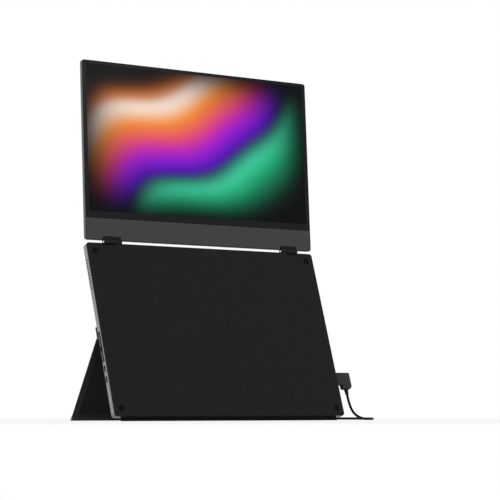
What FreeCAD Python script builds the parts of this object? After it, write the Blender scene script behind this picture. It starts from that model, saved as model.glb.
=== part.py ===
import FreeCAD, Part
import math
import os

# A folding second screen that stands behind a portable computer.
# A thin display panel is hinged to the top of a base panel. The base panel leans back on a
# stand plate that swings out of its rear, and holds the boards, the ports and the speakers.
# The table is z = 0. x runs to the right of someone who faces the picture and y away from them.
# Panel coordinates, used before a panel is stood up, are x, the depth behind the panel's front
# face and the height above its lower edge. All sizes are in millimetres and degrees.

# Sizes of both panels
PANEL_WIDTH = 356.0
PANEL_CORNER = 4.0

# Display panel
DISPLAY_HEIGHT = 235.6
DISPLAY_DEPTH = 7.0
DISPLAY_LEAN = 3.4
DISPLAY_BACK_ROUND = 2.4
DISPLAY_RIM = 0.9
DISPLAY_SIDE_WALL = 2.4
DISPLAY_BACK_WALL = 1.4
GLASS_THICKNESS = 1.0
GLASS_GAP = 0.15
CHIN_HEIGHT = 28.7
CELL_THICKNESS = 1.6
CELL_SIDE_GAP = 0.4
CELL_BELOW_CHIN_TOP = 1.0
BACKLIGHT_THICKNESS = 2.2
BACKLIGHT_EDGE = 1.0

# Base panel
BASE_HEIGHT = 234.0
BASE_DEPTH = 11.4
BASE_LEAN = 18.8
BASE_BACK_ROUND = 3.5
BASE_SIDE_WALL = 1.8
BASE_BACK_WALL = 1.6
COVER_THICKNESS = 1.6
COVER_LIP_THICKNESS = 1.0
COVER_LIP_DEPTH = 1.4
COVER_LIP_GAP = 0.15
END_CAP_HEIGHT = 12.5
SEAM_GAP = 0.3
TONGUE_WIDTH = 14.0
TONGUE_LENGTH = 8.0
TONGUE_THICKNESS = 1.6
TONGUE_PLACES = (-140.0, -50.0, 50.0, 140.0)
TABLE_CLEARANCE = 2.7

# Display hinge
HINGE_GAP = 3.6
HINGE_PROUD = 0.4
HINGE_FROM_END = 25.0
HINGE_WIDTH = 27.0
HINGE_NOTCH = 5.8
BARREL_RADIUS = 3.4
BARREL_RELIEF = 0.4
BARREL_SIDE_GAP = 0.5
BARREL_GAP = 0.3
BASE_BARREL_WIDTH = 15.0
HINGE_PIN_RADIUS = 1.5
PIN_RUNNING_GAP = 0.05
LEAF_THICKNESS = 1.2
LEAF_LENGTH = 22.0
LEAF_SCREWS = (10.0, 18.0)
LEAF_SLOT_GAP = 0.2
LEAF_COVER_GAP = 0.2
HINGE_COVER_GAP = 0.15

# Screws, bosses and boards
SCREW_SHANK = 0.95
SCREW_HEAD = 1.9
SCREW_HEAD_HEIGHT = 0.9
SCREW_HOLE = 1.1
SCREW_BITE = 1.6
BOSS_RADIUS = 2.6
BOARD_THICKNESS = 1.2
BOARD_CORNER = 1.5
BOARD_STANDOFF = 1.0
BOARD_SCREW_INSET = 4.0
CHIP_HEIGHT = 1.2
CHIP_SIZE = 9.0
MAIN_CHIPS = 5
PORT_CHIPS = 1
DISPLAY_CHIPS = 5
SLOT_ROUND_SHARE = 0.49
HEAD_CHAMFER = 0.3
PIN_CHAMFER = 0.3

# Boards in panel coordinates: the ends along x and the ends in height
MAIN_BOARD_WIDTH = 150.0
MAIN_BOARD_LOW = 34.0
MAIN_BOARD_TALL = 76.0
PORT_BOARD_INSET = 4.2
PORT_BOARD_WIDTH = 30.0
LEFT_BOARD_LOW = 38.0
LEFT_BOARD_TALL = 80.0
RIGHT_BOARD_LOW = 32.0
RIGHT_BOARD_TALL = 42.0
DISPLAY_BOARD_WIDTH = 150.0
DISPLAY_BOARD_LOW = 8.0
DISPLAY_BOARD_TALL = 17.0
DISPLAY_BOARD_STANDOFF = 0.6

# Ports, in the middle of the base panel's depth
PORT_DEPTH = 6.0
PORT_LENGTH = 9.0
PORT_THICKNESS = 3.2
PORT_WALL = 0.3
PORT_REACH = 7.4
PORT_INSET = 0.3
PORT_OPENING_GAP = 0.1
TONGUE_OF_PORT = 6.6
TONGUE_OF_PORT_THICKNESS = 0.7
TONGUE_OF_PORT_REACH = 5.0
LEFT_LOWER_PORT_HEIGHT = 50.0
LEFT_UPPER_PORT_HEIGHT = 64.0
RIGHT_PORT_HEIGHT = 52.0

# Keys on the left side
KEY_WIDTH = 3.2
KEY_PROUD = 0.5
KEY_GAP = 0.2
POWER_KEY_HEIGHT = 80.75
POWER_KEY_LENGTH = 13.5
ROCKER_HEIGHT = 103.3
ROCKER_LENGTH = 18.6
ROCKER_PIVOT_RADIUS = 0.5
ROCKER_PIVOT_GAP = 0.12
ROCKER_PIVOT_REACH = 1.2
ROCKER_BEARING_GAP = 0.2
ROCKER_BEARING_WIDTH = 1.0
ROCKER_BEARING_TALL = 2.8
KEY_FLANGE = 1.0
KEY_FLANGE_SIDE = 0.6
KEY_FACE_ROUND = 0.25
KEY_FLANGE_THICKNESS = 0.8
POWER_FLANGE_GAP = 0.1
ROCKER_FLANGE_GAP = 0.55
SWITCH_LENGTH = 5.0
SWITCH_REACH = 3.0
SWITCH_THICKNESS = 2.6
SWITCH_START = 4.4
PLUNGER_RADIUS = 0.8
PLUNGER_START = 3.7
ROCKER_SWITCH_OFFSET = 6.0

# Speakers
SPEAKER_BELOW_TOP = 22.0
SPEAKER_TALL = 47.0
SPEAKER_WIDTH = 17.0
SPEAKER_FRONT = 2.8
SPEAKER_CORNER = 2.5
SOUND_HOLE_RADIUS = 0.75
SOUND_HOLE_PITCH = 3.5
SOUND_HOLE_COUNT = 10
SOUND_HOLES_ABOVE_SPEAKER_END = 7.0
SOUND_HOLE_ROWS = (4.8, 7.6)

# Pads and feet
PAD_RADIUS = 4.0
PAD_THICKNESS = 0.5
PAD_INSET = 11.0
FOOT_FRONT = 2.8
FOOT_BACK = 9.8
FOOT_END_GAP = 12.0

# Stand
STAND_SWING = 51.0
STAND_FOLD_HEIGHT = 108.0
STAND_THICKNESS = 2.0
STAND_SIDE_GAP = 0.6
STAND_CORNER = 2.5
STRIP_TOP = 122.0
KNUCKLE_RADIUS = 1.6
KNUCKLE_STANDOFF = 1.75
KNUCKLE_COUNT = 7
KNUCKLE_GAP = 0.3
KNUCKLE_ROOM = 2.2
STAND_PIN_RADIUS = 0.8
STRIP_SCREW_BITE = 1.2
STRIP_SCREW_PLACES = (-150.0, -75.0, 0.0, 75.0, 150.0)
STAND_FOOT_THICKNESS = 3.2
STAND_FOOT_GRIP = 4.0
STAND_FOOT_BELOW = 2.2

# Plug in the right port, as distances from the base panel's side
PLUG_SHELL_LENGTH = 8.3
PLUG_SHELL_THICKNESS = 2.45
PLUG_SHELL_WALL = 0.3
PLUG_SHELL_REACH = 6.3
PLUG_START = 0.6
PLUG_OUTER = 24.6
PLUG_THICKNESS = 7.4
PLUG_TOP = 62.0
PLUG_BOTTOM = 39.0
PLUG_HEEL = 45.0
PLUG_HEEL_OUT = 9.0
PLUG_CHAMFER = 3.0
PLUG_EDGE_ROUND = 1.2
CABLE_OUT = 16.0
RELIEF_LENGTH = 7.0
RELIEF_BASE_RADIUS = 3.0
RELIEF_TIP_RADIUS = 2.3
RELIEF_RIBS = 3
RELIEF_RIB_DEPTH = 0.35

# Cord
CORD_DIAMETER = 3.4
CORD_ARC_SHARE = 0.45
CORD_DROP = 14.0
COIL_FROM_SIDE = 48.0
COIL_CENTRE_Y = 138.0
COIL_INNER_RADIUS = 15.3
COIL_OUTER_RADIUS = 25.5
COIL_TALL = 6.3
COIL_BEVEL = 1.2
TAIL_RADIUS = 22.1
TAIL_LENGTH = 12.0
END_PLUG_LENGTH = 20.0
END_PLUG_WIDTH = 12.0
END_PLUG_THICKNESS = 6.6
END_PLUG_ROUND = 1.6

# The cord's route from below the plug, along the table and to the coil: each point's
# distance out from the panel's side, its y and its height above the table
CORD_ROUTE = (
    (22.0, -48.8, 8.2),
    (35.0, -50.3, 1.7),
    (52.0, -47.0, 1.7),
    (68.0, -33.0, 1.7),
    (76.0, -10.0, 1.7),
    (77.0, 18.0, 1.7),
    (68.0, 50.0, 1.7),
    (50.0, 82.0, 1.7),
    (25.0, 111.0, 1.7),
    (-1.6, 133.8, 1.7),
    (-26.6, 151.9, 1.7),
)

# Values that follow from the sizes
Vec = FreeCAD.Vector
ALONG = Vec(1, 0, 0)
BACK = Vec(0, 1, 0)
UP = Vec(0, 0, 1)
NEAR = 0.01
SPARE = 1.0
FAR = 1000.0
HALF_WIDTH = PANEL_WIDTH / 2
DISPLAY_CAVITY_BACK = DISPLAY_DEPTH - DISPLAY_BACK_WALL
BASE_CAVITY_BACK = BASE_DEPTH - BASE_BACK_WALL
LEAF_BACK = COVER_THICKNESS + LEAF_COVER_GAP + LEAF_THICKNESS
BASE_AXIS_HEIGHT = BASE_HEIGHT + HINGE_GAP / 2
DISPLAY_AXIS_HEIGHT = -HINGE_GAP / 2
HINGE_OUTER = -HALF_WIDTH + HINGE_FROM_END
HINGE_SPAN = (HINGE_OUTER, HINGE_OUTER + HINGE_WIDTH)
BASE_BARREL = (HINGE_OUTER + BARREL_SIDE_GAP, HINGE_OUTER + BARREL_SIDE_GAP + BASE_BARREL_WIDTH)
DISPLAY_BARREL = (BASE_BARREL[1] + BARREL_GAP, HINGE_SPAN[1] - BARREL_SIDE_GAP)
BOARD_FRONT = BASE_CAVITY_BACK - BOARD_STANDOFF - BOARD_THICKNESS
CORD_RADIUS = CORD_DIAMETER / 2
COIL_CENTRE_X = HALF_WIDTH - COIL_FROM_SIDE
SPEAKER_LOW = BASE_HEIGHT - SPEAKER_BELOW_TOP - SPEAKER_TALL
SOUND_HOLE_LOW = SPEAKER_LOW + SOUND_HOLES_ABOVE_SPEAKER_END


def block(x, depth, height):
    """A box from its two ends on each axis."""
    corner = Vec(x[0], depth[0], height[0])
    return Part.makeBox(x[1] - x[0], depth[1] - depth[0], height[1] - height[0], corner)


def around(middle, size):
    """The two ends of a span that has its middle and its size given."""
    return (middle - size / 2, middle + size / 2)


def rod(start, direction, radius, length):
    """A round rod."""
    return Part.makeCylinder(radius, length, start, direction)


def edges_along(shape, axis):
    """The straight edges of a shape that run along an axis."""
    found = []
    for edge in shape.Edges:
        run = edge.Vertexes[-1].Point - edge.Vertexes[0].Point
        if run.Length > NEAR and abs(abs(run.dot(axis)) - run.Length) < NEAR / FAR:
            found.append(edge)
    return found


def edges_at_depth(shape, depth):
    """The edges of a shape that lie in one plane of depth."""
    return [
        edge
        for edge in shape.Edges
        if abs(edge.BoundBox.YMin - depth) < NEAR and abs(edge.BoundBox.YMax - depth) < NEAR
    ]


def rounded_plate(x, depth, height, corner, axis=BACK):
    """A box whose edges along one axis are rounded."""
    plain = block(x, depth, height)
    return plain.makeFillet(corner, edges_along(plain, axis))


def slot_form(x, depth_middle, height_middle, width, length):
    """A bar along x with the round-ended outline of a slot that is long in height."""
    plain = block(x, around(depth_middle, width), around(height_middle, length))
    return plain.makeFillet(width * SLOT_ROUND_SHARE, edges_along(plain, ALONG))


def panel_form(depth, height, back_round):
    """The outer form of a panel, with its back edges rounded."""
    plain = rounded_plate((-HALF_WIDTH, HALF_WIDTH), depth, (0, height), PANEL_CORNER)
    return plain.makeFillet(back_round, edges_at_depth(plain, depth[1]))


def mirrored(shape):
    """The same piece on the other side of the middle."""
    return shape.mirror(Vec(0, 0, 0), ALONG)


def merged(shapes):
    """Several touching shapes as one."""
    return shapes[0].multiFuse(shapes[1:]).removeSplitter()


def whole(shape):
    """The solid of a shape, or a group of its solids where it has several."""
    if len(shape.Solids) == 1:
        return shape.Solids[0]
    return Part.makeCompound(shape.Solids)


def stood(shape, placement):
    """A copy of a shape, moved by a placement."""
    copy = shape.copy()
    copy.Placement = placement.multiply(copy.Placement)
    return copy


def boss(x, height, depth):
    """A round post across a depth, with a pilot hole for a screw."""
    post = rod(Vec(x, depth[0], height), BACK, BOSS_RADIUS, depth[1] - depth[0])
    return post.cut(rod(Vec(x, depth[0], height), BACK, SCREW_SHANK, SCREW_BITE))


def flat_screw(x, head_depth, height, direction, length):
    """A screw whose sunk head is flush with the face that it starts from."""
    start = Vec(x, head_depth, height)
    head = Part.makeCone(SCREW_HEAD, SCREW_SHANK, SCREW_HEAD_HEIGHT, start, direction)
    return merged([head, rod(start, direction, SCREW_SHANK, length)])


def pan_screw(x, seat_depth, height, length):
    """A screw whose head stands on a board, in front of it."""
    head = rod(Vec(x, seat_depth - SCREW_HEAD_HEIGHT, height), BACK, SCREW_HEAD, SCREW_HEAD_HEIGHT)
    head = head.makeChamfer(HEAD_CHAMFER, edges_at_depth(head, seat_depth - SCREW_HEAD_HEIGHT))
    return merged([head, rod(Vec(x, seat_depth, height), BACK, SCREW_SHANK, length)])


def board_screw_places(x, height):
    """Where a board is screwed down, near two opposite corners."""
    inset = BOARD_SCREW_INSET
    return [(x[0] + inset, height[0] + inset), (x[1] - inset, height[1] - inset)]


def board(x, front, height, chips):
    """A circuit board with its screw holes, and a row of square chips on its front face."""
    plate = rounded_plate(x, (front, front + BOARD_THICKNESS), height, BOARD_CORNER)
    for place_x, place_height in board_screw_places(x, height):
        plate = plate.cut(rod(Vec(place_x, front, place_height), BACK, SCREW_HOLE, BOARD_THICKNESS))
    pitch = (x[1] - x[0]) / chips
    middles = [x[0] + pitch * number + pitch / 2 for number in range(chips)]
    tall = around(sum(height) / 2, CHIP_SIZE)
    bodies = [block(around(at, CHIP_SIZE), (front - CHIP_HEIGHT, front), tall) for at in middles]
    return merged([plate] + bodies)


def board_bosses(x, height, standoff, cavity_back):
    """The posts that a board is screwed to."""
    posts = []
    for place_x, place_height in board_screw_places(x, height):
        start = Vec(place_x, cavity_back - standoff, place_height)
        post = rod(start, BACK, BOSS_RADIUS, standoff)
        posts.append(post.cut(rod(start, BACK, SCREW_SHANK, standoff)))
    return posts


def board_screws(x, front, height, standoff):
    """The screws of a board."""
    length = BOARD_THICKNESS + standoff
    return [pan_screw(a, front, b, length) for a, b in board_screw_places(x, height)]


def leaf_screw_heights(axis_height, side):
    """Heights of a hinge leaf's screws."""
    return [axis_height + side * distance for distance in LEAF_SCREWS]


def barrel_relief(axis_height):
    """The round room that a panel leaves for the turning barrels of its left hinge."""
    start = Vec(HINGE_SPAN[0], -HINGE_PROUD, axis_height)
    return rod(start, ALONG, BARREL_RADIUS + BARREL_RELIEF, HINGE_WIDTH)


def hinge_leaf(span, axis_height, side, bore):
    """A left hinge leaf: a barrel round the axis, and a flat arm that runs into the panel.

    side is 1 for a panel above the axis and -1 for one below it.
    """
    start = Vec(span[0], -HINGE_PROUD, axis_height)
    barrel = rod(start, ALONG, BARREL_RADIUS, span[1] - span[0])
    ends = sorted((axis_height, axis_height + side * LEAF_LENGTH))
    arm = rounded_plate(span, (LEAF_BACK - LEAF_THICKNESS, LEAF_BACK), ends, BOARD_CORNER)
    leaf = merged([barrel, arm]).cut(rod(start, ALONG, bore, span[1] - span[0]))
    middle = sum(span) / 2
    for height in leaf_screw_heights(axis_height, side):
        leaf = leaf.cut(flat_screw(middle, LEAF_BACK - LEAF_THICKNESS, height, BACK, LEAF_THICKNESS))
    return leaf


def leaf_screws(span, axis_height, side):
    """The sunk screws of a left hinge leaf and of its mirror image."""
    middle = sum(span) / 2
    left = [
        flat_screw(middle, LEAF_BACK - LEAF_THICKNESS, height, BACK, LEAF_THICKNESS + SCREW_BITE)
        for height in leaf_screw_heights(axis_height, side)
    ]
    return Part.makeCompound(left + [mirrored(screw) for screw in left])


def leaf_bosses(span, axis_height, side, cavity_back):
    """The posts under a left hinge leaf and its mirror image."""
    middle = sum(span) / 2
    heights = leaf_screw_heights(axis_height, side)
    left = [boss(middle, height, (LEAF_BACK, cavity_back)) for height in heights]
    return left + [mirrored(post) for post in left]


def hinge_pin():
    """The left hinge pin, which the display's leaf grips and the base's leaf turns on."""
    start = Vec(BASE_BARREL[0], -HINGE_PROUD, DISPLAY_AXIS_HEIGHT)
    pin = rod(start, ALONG, HINGE_PIN_RADIUS, DISPLAY_BARREL[1] - BASE_BARREL[0])
    return pin.makeChamfer(PIN_CHAMFER, pin.Edges)


def both_sides(shape):
    """A left piece and its mirror image."""
    return [shape, mirrored(shape)]


DISPLAY_BOARD_X = around(0, DISPLAY_BOARD_WIDTH)
DISPLAY_BOARD_HEIGHT = (DISPLAY_BOARD_LOW, DISPLAY_BOARD_LOW + DISPLAY_BOARD_TALL)
DISPLAY_BOARD_FRONT = DISPLAY_CAVITY_BACK - DISPLAY_BOARD_STANDOFF - BOARD_THICKNESS
DISPLAY_CAVITY_X = (-HALF_WIDTH + DISPLAY_SIDE_WALL, HALF_WIDTH - DISPLAY_SIDE_WALL)
CELL_X = (DISPLAY_CAVITY_X[0] + CELL_SIDE_GAP, DISPLAY_CAVITY_X[1] - CELL_SIDE_GAP)
CELL_HEIGHT = (CHIN_HEIGHT + CELL_BELOW_CHIN_TOP, DISPLAY_HEIGHT - DISPLAY_SIDE_WALL - CELL_SIDE_GAP)


def display_rear_shell(outer, notches):
    """The display's casing: a tray with a rim round the glass, a ledge under it and posts."""
    recess_x = (-HALF_WIDTH + DISPLAY_RIM, HALF_WIDTH - DISPLAY_RIM)
    recess_height = (DISPLAY_RIM, DISPLAY_HEIGHT - DISPLAY_RIM)
    recess = rounded_plate(recess_x, (0, GLASS_THICKNESS), recess_height, PANEL_CORNER - DISPLAY_RIM)
    cavity_height = (DISPLAY_SIDE_WALL, DISPLAY_HEIGHT - DISPLAY_SIDE_WALL)
    cavity_depth = (GLASS_THICKNESS, DISPLAY_CAVITY_BACK)
    cavity = rounded_plate(DISPLAY_CAVITY_X, cavity_depth, cavity_height, PANEL_CORNER - DISPLAY_SIDE_WALL)
    posts = leaf_bosses(DISPLAY_BARREL, DISPLAY_AXIS_HEIGHT, 1, DISPLAY_CAVITY_BACK)
    posts += board_bosses(DISPLAY_BOARD_X, DISPLAY_BOARD_HEIGHT, DISPLAY_BOARD_STANDOFF, DISPLAY_CAVITY_BACK)
    tray = outer.cut(recess).cut(cavity)
    return merged([tray] + posts).cut(Part.makeCompound(notches))


def hinge_cover(outer):
    """The black cover that fills the left notch above the hinge barrels."""
    span = (HINGE_SPAN[0] + HINGE_COVER_GAP, HINGE_SPAN[1] - HINGE_COVER_GAP)
    filled = outer.common(block(span, (0, DISPLAY_DEPTH), (0, HINGE_NOTCH)))
    arm_x = (DISPLAY_BARREL[0] - LEAF_SLOT_GAP, DISPLAY_BARREL[1] + LEAF_SLOT_GAP)
    arm_depth = (LEAF_BACK - LEAF_THICKNESS - LEAF_SLOT_GAP, LEAF_BACK + LEAF_SLOT_GAP)
    slot = block(arm_x, arm_depth, (-HINGE_GAP, HINGE_NOTCH))
    return filled.cut(barrel_relief(DISPLAY_AXIS_HEIGHT)).cut(slot)


def display_parts():
    """Everything that turns with the display panel, in its panel coordinates."""
    outer = panel_form((0, DISPLAY_DEPTH), DISPLAY_HEIGHT, DISPLAY_BACK_ROUND)
    notches = both_sides(block(HINGE_SPAN, (-SPARE, DISPLAY_DEPTH + SPARE), (-SPARE, HINGE_NOTCH)))
    front_x = (-HALF_WIDTH + DISPLAY_RIM + GLASS_GAP, HALF_WIDTH - DISPLAY_RIM - GLASS_GAP)
    front_corner = PANEL_CORNER - DISPLAY_RIM - GLASS_GAP
    front_height = (DISPLAY_RIM + GLASS_GAP, DISPLAY_HEIGHT - DISPLAY_RIM - GLASS_GAP)
    front = rounded_plate(front_x, (0, GLASS_THICKNESS), front_height, front_corner)
    glass_zone = block((-FAR, FAR), (-SPARE, DISPLAY_DEPTH), (CHIN_HEIGHT, FAR))
    chin_zone = block((-FAR, FAR), (-SPARE, DISPLAY_DEPTH), (-FAR, CHIN_HEIGHT - GLASS_GAP))
    cell_back = GLASS_THICKNESS + CELL_THICKNESS
    light_back = cell_back + BACKLIGHT_THICKNESS
    light_x = (CELL_X[0] + BACKLIGHT_EDGE, CELL_X[1] - BACKLIGHT_EDGE)
    light_height = (CELL_HEIGHT[0] + BACKLIGHT_EDGE, CELL_HEIGHT[1] - BACKLIGHT_EDGE)
    leaf = hinge_leaf(DISPLAY_BARREL, DISPLAY_AXIS_HEIGHT, 1, HINGE_PIN_RADIUS)
    screws = board_screws(DISPLAY_BOARD_X, DISPLAY_BOARD_FRONT, DISPLAY_BOARD_HEIGHT, DISPLAY_BOARD_STANDOFF)
    left_cover = hinge_cover(outer)
    return {
        "display_rear_shell": display_rear_shell(outer, notches),
        "chin_cover": front.common(chin_zone).cut(Part.makeCompound(notches)),
        "screen_glass": front.common(glass_zone),
        "liquid_crystal_cell": block(CELL_X, (GLASS_THICKNESS, cell_back), CELL_HEIGHT),
        "backlight": rounded_plate(light_x, (cell_back, light_back), light_height, BOARD_CORNER),
        "backlight_support": block(CELL_X, (light_back, DISPLAY_CAVITY_BACK), CELL_HEIGHT),
        "display_board": board(DISPLAY_BOARD_X, DISPLAY_BOARD_FRONT, DISPLAY_BOARD_HEIGHT, DISPLAY_CHIPS),
        "display_board_screws": Part.makeCompound(screws),
        "left_display_hinge_leaf": leaf,
        "right_display_hinge_leaf": mirrored(leaf),
        "left_hinge_pin": hinge_pin(),
        "right_hinge_pin": mirrored(hinge_pin()),
        "left_hinge_cover": left_cover,
        "right_hinge_cover": mirrored(left_cover),
        "display_hinge_screws": leaf_screws(DISPLAY_BARREL, DISPLAY_AXIS_HEIGHT, 1),
    }


MAIN_BOARD_X = around(0, MAIN_BOARD_WIDTH)
MAIN_BOARD_HEIGHT = (MAIN_BOARD_LOW, MAIN_BOARD_LOW + MAIN_BOARD_TALL)
LEFT_BOARD_X = (-HALF_WIDTH + PORT_BOARD_INSET, -HALF_WIDTH + PORT_BOARD_INSET + PORT_BOARD_WIDTH)
LEFT_BOARD_HEIGHT = (LEFT_BOARD_LOW, LEFT_BOARD_LOW + LEFT_BOARD_TALL)
RIGHT_BOARD_X = (HALF_WIDTH - PORT_BOARD_INSET - PORT_BOARD_WIDTH, HALF_WIDTH - PORT_BOARD_INSET)
RIGHT_BOARD_HEIGHT = (RIGHT_BOARD_LOW, RIGHT_BOARD_LOW + RIGHT_BOARD_TALL)
BASE_BOARDS = (
    (MAIN_BOARD_X, MAIN_BOARD_HEIGHT),
    (LEFT_BOARD_X, LEFT_BOARD_HEIGHT),
    (RIGHT_BOARD_X, RIGHT_BOARD_HEIGHT),
)


FLANGE_WIDTH = KEY_WIDTH + 2 * KEY_FLANGE_SIDE
ROCKER_AXIS_X = -HALF_WIDTH + BASE_SIDE_WALL + ROCKER_FLANGE_GAP + KEY_FLANGE_THICKNESS / 2


def wall_span():
    """The x of the left side wall, with a little to spare on both faces."""
    return (-HALF_WIDTH - SPARE, -HALF_WIDTH + BASE_SIDE_WALL + NEAR)


def port_opening(height):
    """The cut for a port in the left side wall."""
    width = PORT_THICKNESS + 2 * PORT_OPENING_GAP
    length = PORT_LENGTH + 2 * PORT_OPENING_GAP
    return slot_form(wall_span(), PORT_DEPTH, height, width, length)


def key_opening(height, length):
    """The cut for a key in the left side wall."""
    return slot_form(wall_span(), PORT_DEPTH, height, KEY_WIDTH + 2 * KEY_GAP, length + 2 * KEY_GAP)


def sound_holes():
    """The two staggered rows of holes in front of the left speaker."""
    holes = []
    for row, depth in enumerate(SOUND_HOLE_ROWS):
        first = SOUND_HOLE_LOW + row * SOUND_HOLE_PITCH / 2
        for number in range(SOUND_HOLE_COUNT):
            start = Vec(wall_span()[0], depth, first + number * SOUND_HOLE_PITCH)
            holes.append(rod(start, ALONG, SOUND_HOLE_RADIUS, wall_span()[1] - wall_span()[0]))
    return Part.makeCompound(holes)


def base_cavity():
    """The room inside the base panel."""
    x = (-HALF_WIDTH + BASE_SIDE_WALL, HALF_WIDTH - BASE_SIDE_WALL)
    height = (BASE_SIDE_WALL, BASE_HEIGHT - BASE_SIDE_WALL)
    return rounded_plate(x, (COVER_THICKNESS, BASE_CAVITY_BACK), height, PANEL_CORNER - BASE_SIDE_WALL)


def leaf_slots():
    """The slots in the base panel's upper wall that its hinge leaves pass through."""
    x = (BASE_BARREL[0] - LEAF_SLOT_GAP, BASE_BARREL[1] + LEAF_SLOT_GAP)
    height = (BASE_HEIGHT - BASE_SIDE_WALL - SPARE, BASE_HEIGHT + SPARE)
    return both_sides(block(x, (COVER_THICKNESS, LEAF_BACK + LEAF_SLOT_GAP), height))


def base_rear_shell(outer):
    """The base's casing above the end cap, with posts, port openings, sound holes and key slots."""
    tray = outer.cut(base_cavity())
    posts = leaf_bosses(BASE_BARREL, BASE_AXIS_HEIGHT, -1, BASE_CAVITY_BACK)
    for x, height in BASE_BOARDS:
        posts += board_bosses(x, height, BOARD_STANDOFF, BASE_CAVITY_BACK)
    holes = sound_holes()
    cuts = [
        port_opening(LEFT_LOWER_PORT_HEIGHT),
        port_opening(LEFT_UPPER_PORT_HEIGHT),
        mirrored(port_opening(RIGHT_PORT_HEIGHT)),
        key_opening(POWER_KEY_HEIGHT, POWER_KEY_LENGTH),
        key_opening(ROCKER_HEIGHT, ROCKER_LENGTH),
        holes,
        mirrored(holes),
    ]
    cuts += both_sides(barrel_relief(BASE_AXIS_HEIGHT)) + leaf_slots()
    cuts += [strip_screw(x) for x in STRIP_SCREW_PLACES]
    cuts.append(rocker_pivot(ROCKER_PIVOT_RADIUS + ROCKER_PIVOT_GAP, ROCKER_PIVOT_REACH + ROCKER_PIVOT_GAP))
    shell = merged([tray] + posts + rocker_bearings())
    for cut in cuts:
        shell = shell.cut(cut)
    return shell.common(block((-FAR, FAR), (-FAR, FAR), (END_CAP_HEIGHT, FAR)))


def base_end_cap(outer):
    """The separate lower end of the base's casing, with tongues that reach into the rest."""
    below = block((-FAR, FAR), (-FAR, FAR), (-FAR, END_CAP_HEIGHT - SEAM_GAP))
    cap = outer.cut(base_cavity()).common(below)
    depth = (BASE_CAVITY_BACK - TONGUE_THICKNESS, BASE_CAVITY_BACK)
    height = (BASE_SIDE_WALL, END_CAP_HEIGHT + TONGUE_LENGTH)
    return merged([cap] + [block(around(x, TONGUE_WIDTH), depth, height) for x in TONGUE_PLACES])


def base_front_cover():
    """The flat front of the base, with a lip that seats inside the casing."""
    cover = rounded_plate(
        (-HALF_WIDTH, HALF_WIDTH), (0, COVER_THICKNESS), (0, BASE_HEIGHT), PANEL_CORNER
    )
    inset = BASE_SIDE_WALL + COVER_LIP_GAP
    inner = inset + COVER_LIP_THICKNESS
    depth = (COVER_THICKNESS, COVER_THICKNESS + COVER_LIP_DEPTH)
    lip = block((inset - HALF_WIDTH, HALF_WIDTH - inset), depth, (inset, BASE_HEIGHT - inset))
    room = block((inner - HALF_WIDTH, HALF_WIDTH - inner), depth, (inner, BASE_HEIGHT - inner))
    lip = lip.makeFillet(PANEL_CORNER - inset, edges_along(lip, BACK)).cut(room)
    leaf_room = (HINGE_SPAN[0] - SPARE, HINGE_SPAN[1] + SPARE)
    lip_cuts = both_sides(block(leaf_room, depth, (BASE_HEIGHT - inner - SPARE, BASE_HEIGHT)))
    side = (wall_span()[0], wall_span()[1] + COVER_LIP_THICKNESS + SPARE)
    lip_cuts += both_sides(block(side, depth, (LEFT_BOARD_LOW, ROCKER_HEIGHT + ROCKER_LENGTH)))
    lip_cuts += both_sides(block(side, depth, (SPEAKER_LOW - SPARE, SPEAKER_LOW + SPEAKER_TALL + SPARE)))
    lip = lip.cut(Part.makeCompound(lip_cuts))
    return merged([cover, lip]).cut(Part.makeCompound(both_sides(barrel_relief(BASE_AXIS_HEIGHT))))


def port(height):
    """A port on the left side: a thin shell with a closed back and a contact tongue inside."""
    x = (-HALF_WIDTH + PORT_INSET, -HALF_WIDTH + PORT_INSET + PORT_REACH)
    outer = slot_form(x, PORT_DEPTH, height, PORT_THICKNESS, PORT_LENGTH)
    inside = (x[0] - SPARE, x[1] - 2 * PORT_WALL)
    thin = 2 * PORT_WALL
    room = slot_form(inside, PORT_DEPTH, height, PORT_THICKNESS - thin, PORT_LENGTH - thin)
    tongue_x = (x[1] - 2 * PORT_WALL - TONGUE_OF_PORT_REACH, x[1])
    tongue_depth = around(PORT_DEPTH, TONGUE_OF_PORT_THICKNESS)
    tongue = block(tongue_x, tongue_depth, around(height, TONGUE_OF_PORT))
    return merged([outer.cut(room), tongue])


def key(height, length, flange_gap):
    """A key with its proud stud and the flange that holds it behind the side wall."""
    flange_start = -HALF_WIDTH + BASE_SIDE_WALL + flange_gap
    stud = slot_form((-HALF_WIDTH - KEY_PROUD, flange_start), PORT_DEPTH, height, KEY_WIDTH, length)
    face = [edge for edge in stud.Edges if edge.BoundBox.XMax < -HALF_WIDTH - KEY_PROUD + NEAR]
    stud = stud.makeFillet(KEY_FACE_ROUND, face)
    flange_x = (flange_start, flange_start + KEY_FLANGE_THICKNESS)
    flange = slot_form(flange_x, PORT_DEPTH, height, FLANGE_WIDTH, length + 2 * KEY_FLANGE)
    return merged([stud, flange])


def rocker_pivot(radius, reach):
    """A round bar on the rocker's axis, which runs in depth through its flange."""
    start = Vec(ROCKER_AXIS_X, PORT_DEPTH - FLANGE_WIDTH / 2 - reach, ROCKER_HEIGHT)
    return rod(start, BACK, radius, FLANGE_WIDTH + 2 * reach)


def rocker_bearings():
    """Two small blocks on the casing's side wall, each with a bore for an end of the pivot."""
    wall = -HALF_WIDTH + BASE_SIDE_WALL
    x = (wall - NEAR, 2 * ROCKER_AXIS_X - wall)
    tall = around(ROCKER_HEIGHT, ROCKER_BEARING_TALL)
    near = PORT_DEPTH - FLANGE_WIDTH / 2 - ROCKER_BEARING_GAP
    far = PORT_DEPTH + FLANGE_WIDTH / 2 + ROCKER_BEARING_GAP
    return [block(x, (near - ROCKER_BEARING_WIDTH, near), tall), block(x, (far, BASE_CAVITY_BACK), tall)]


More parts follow.
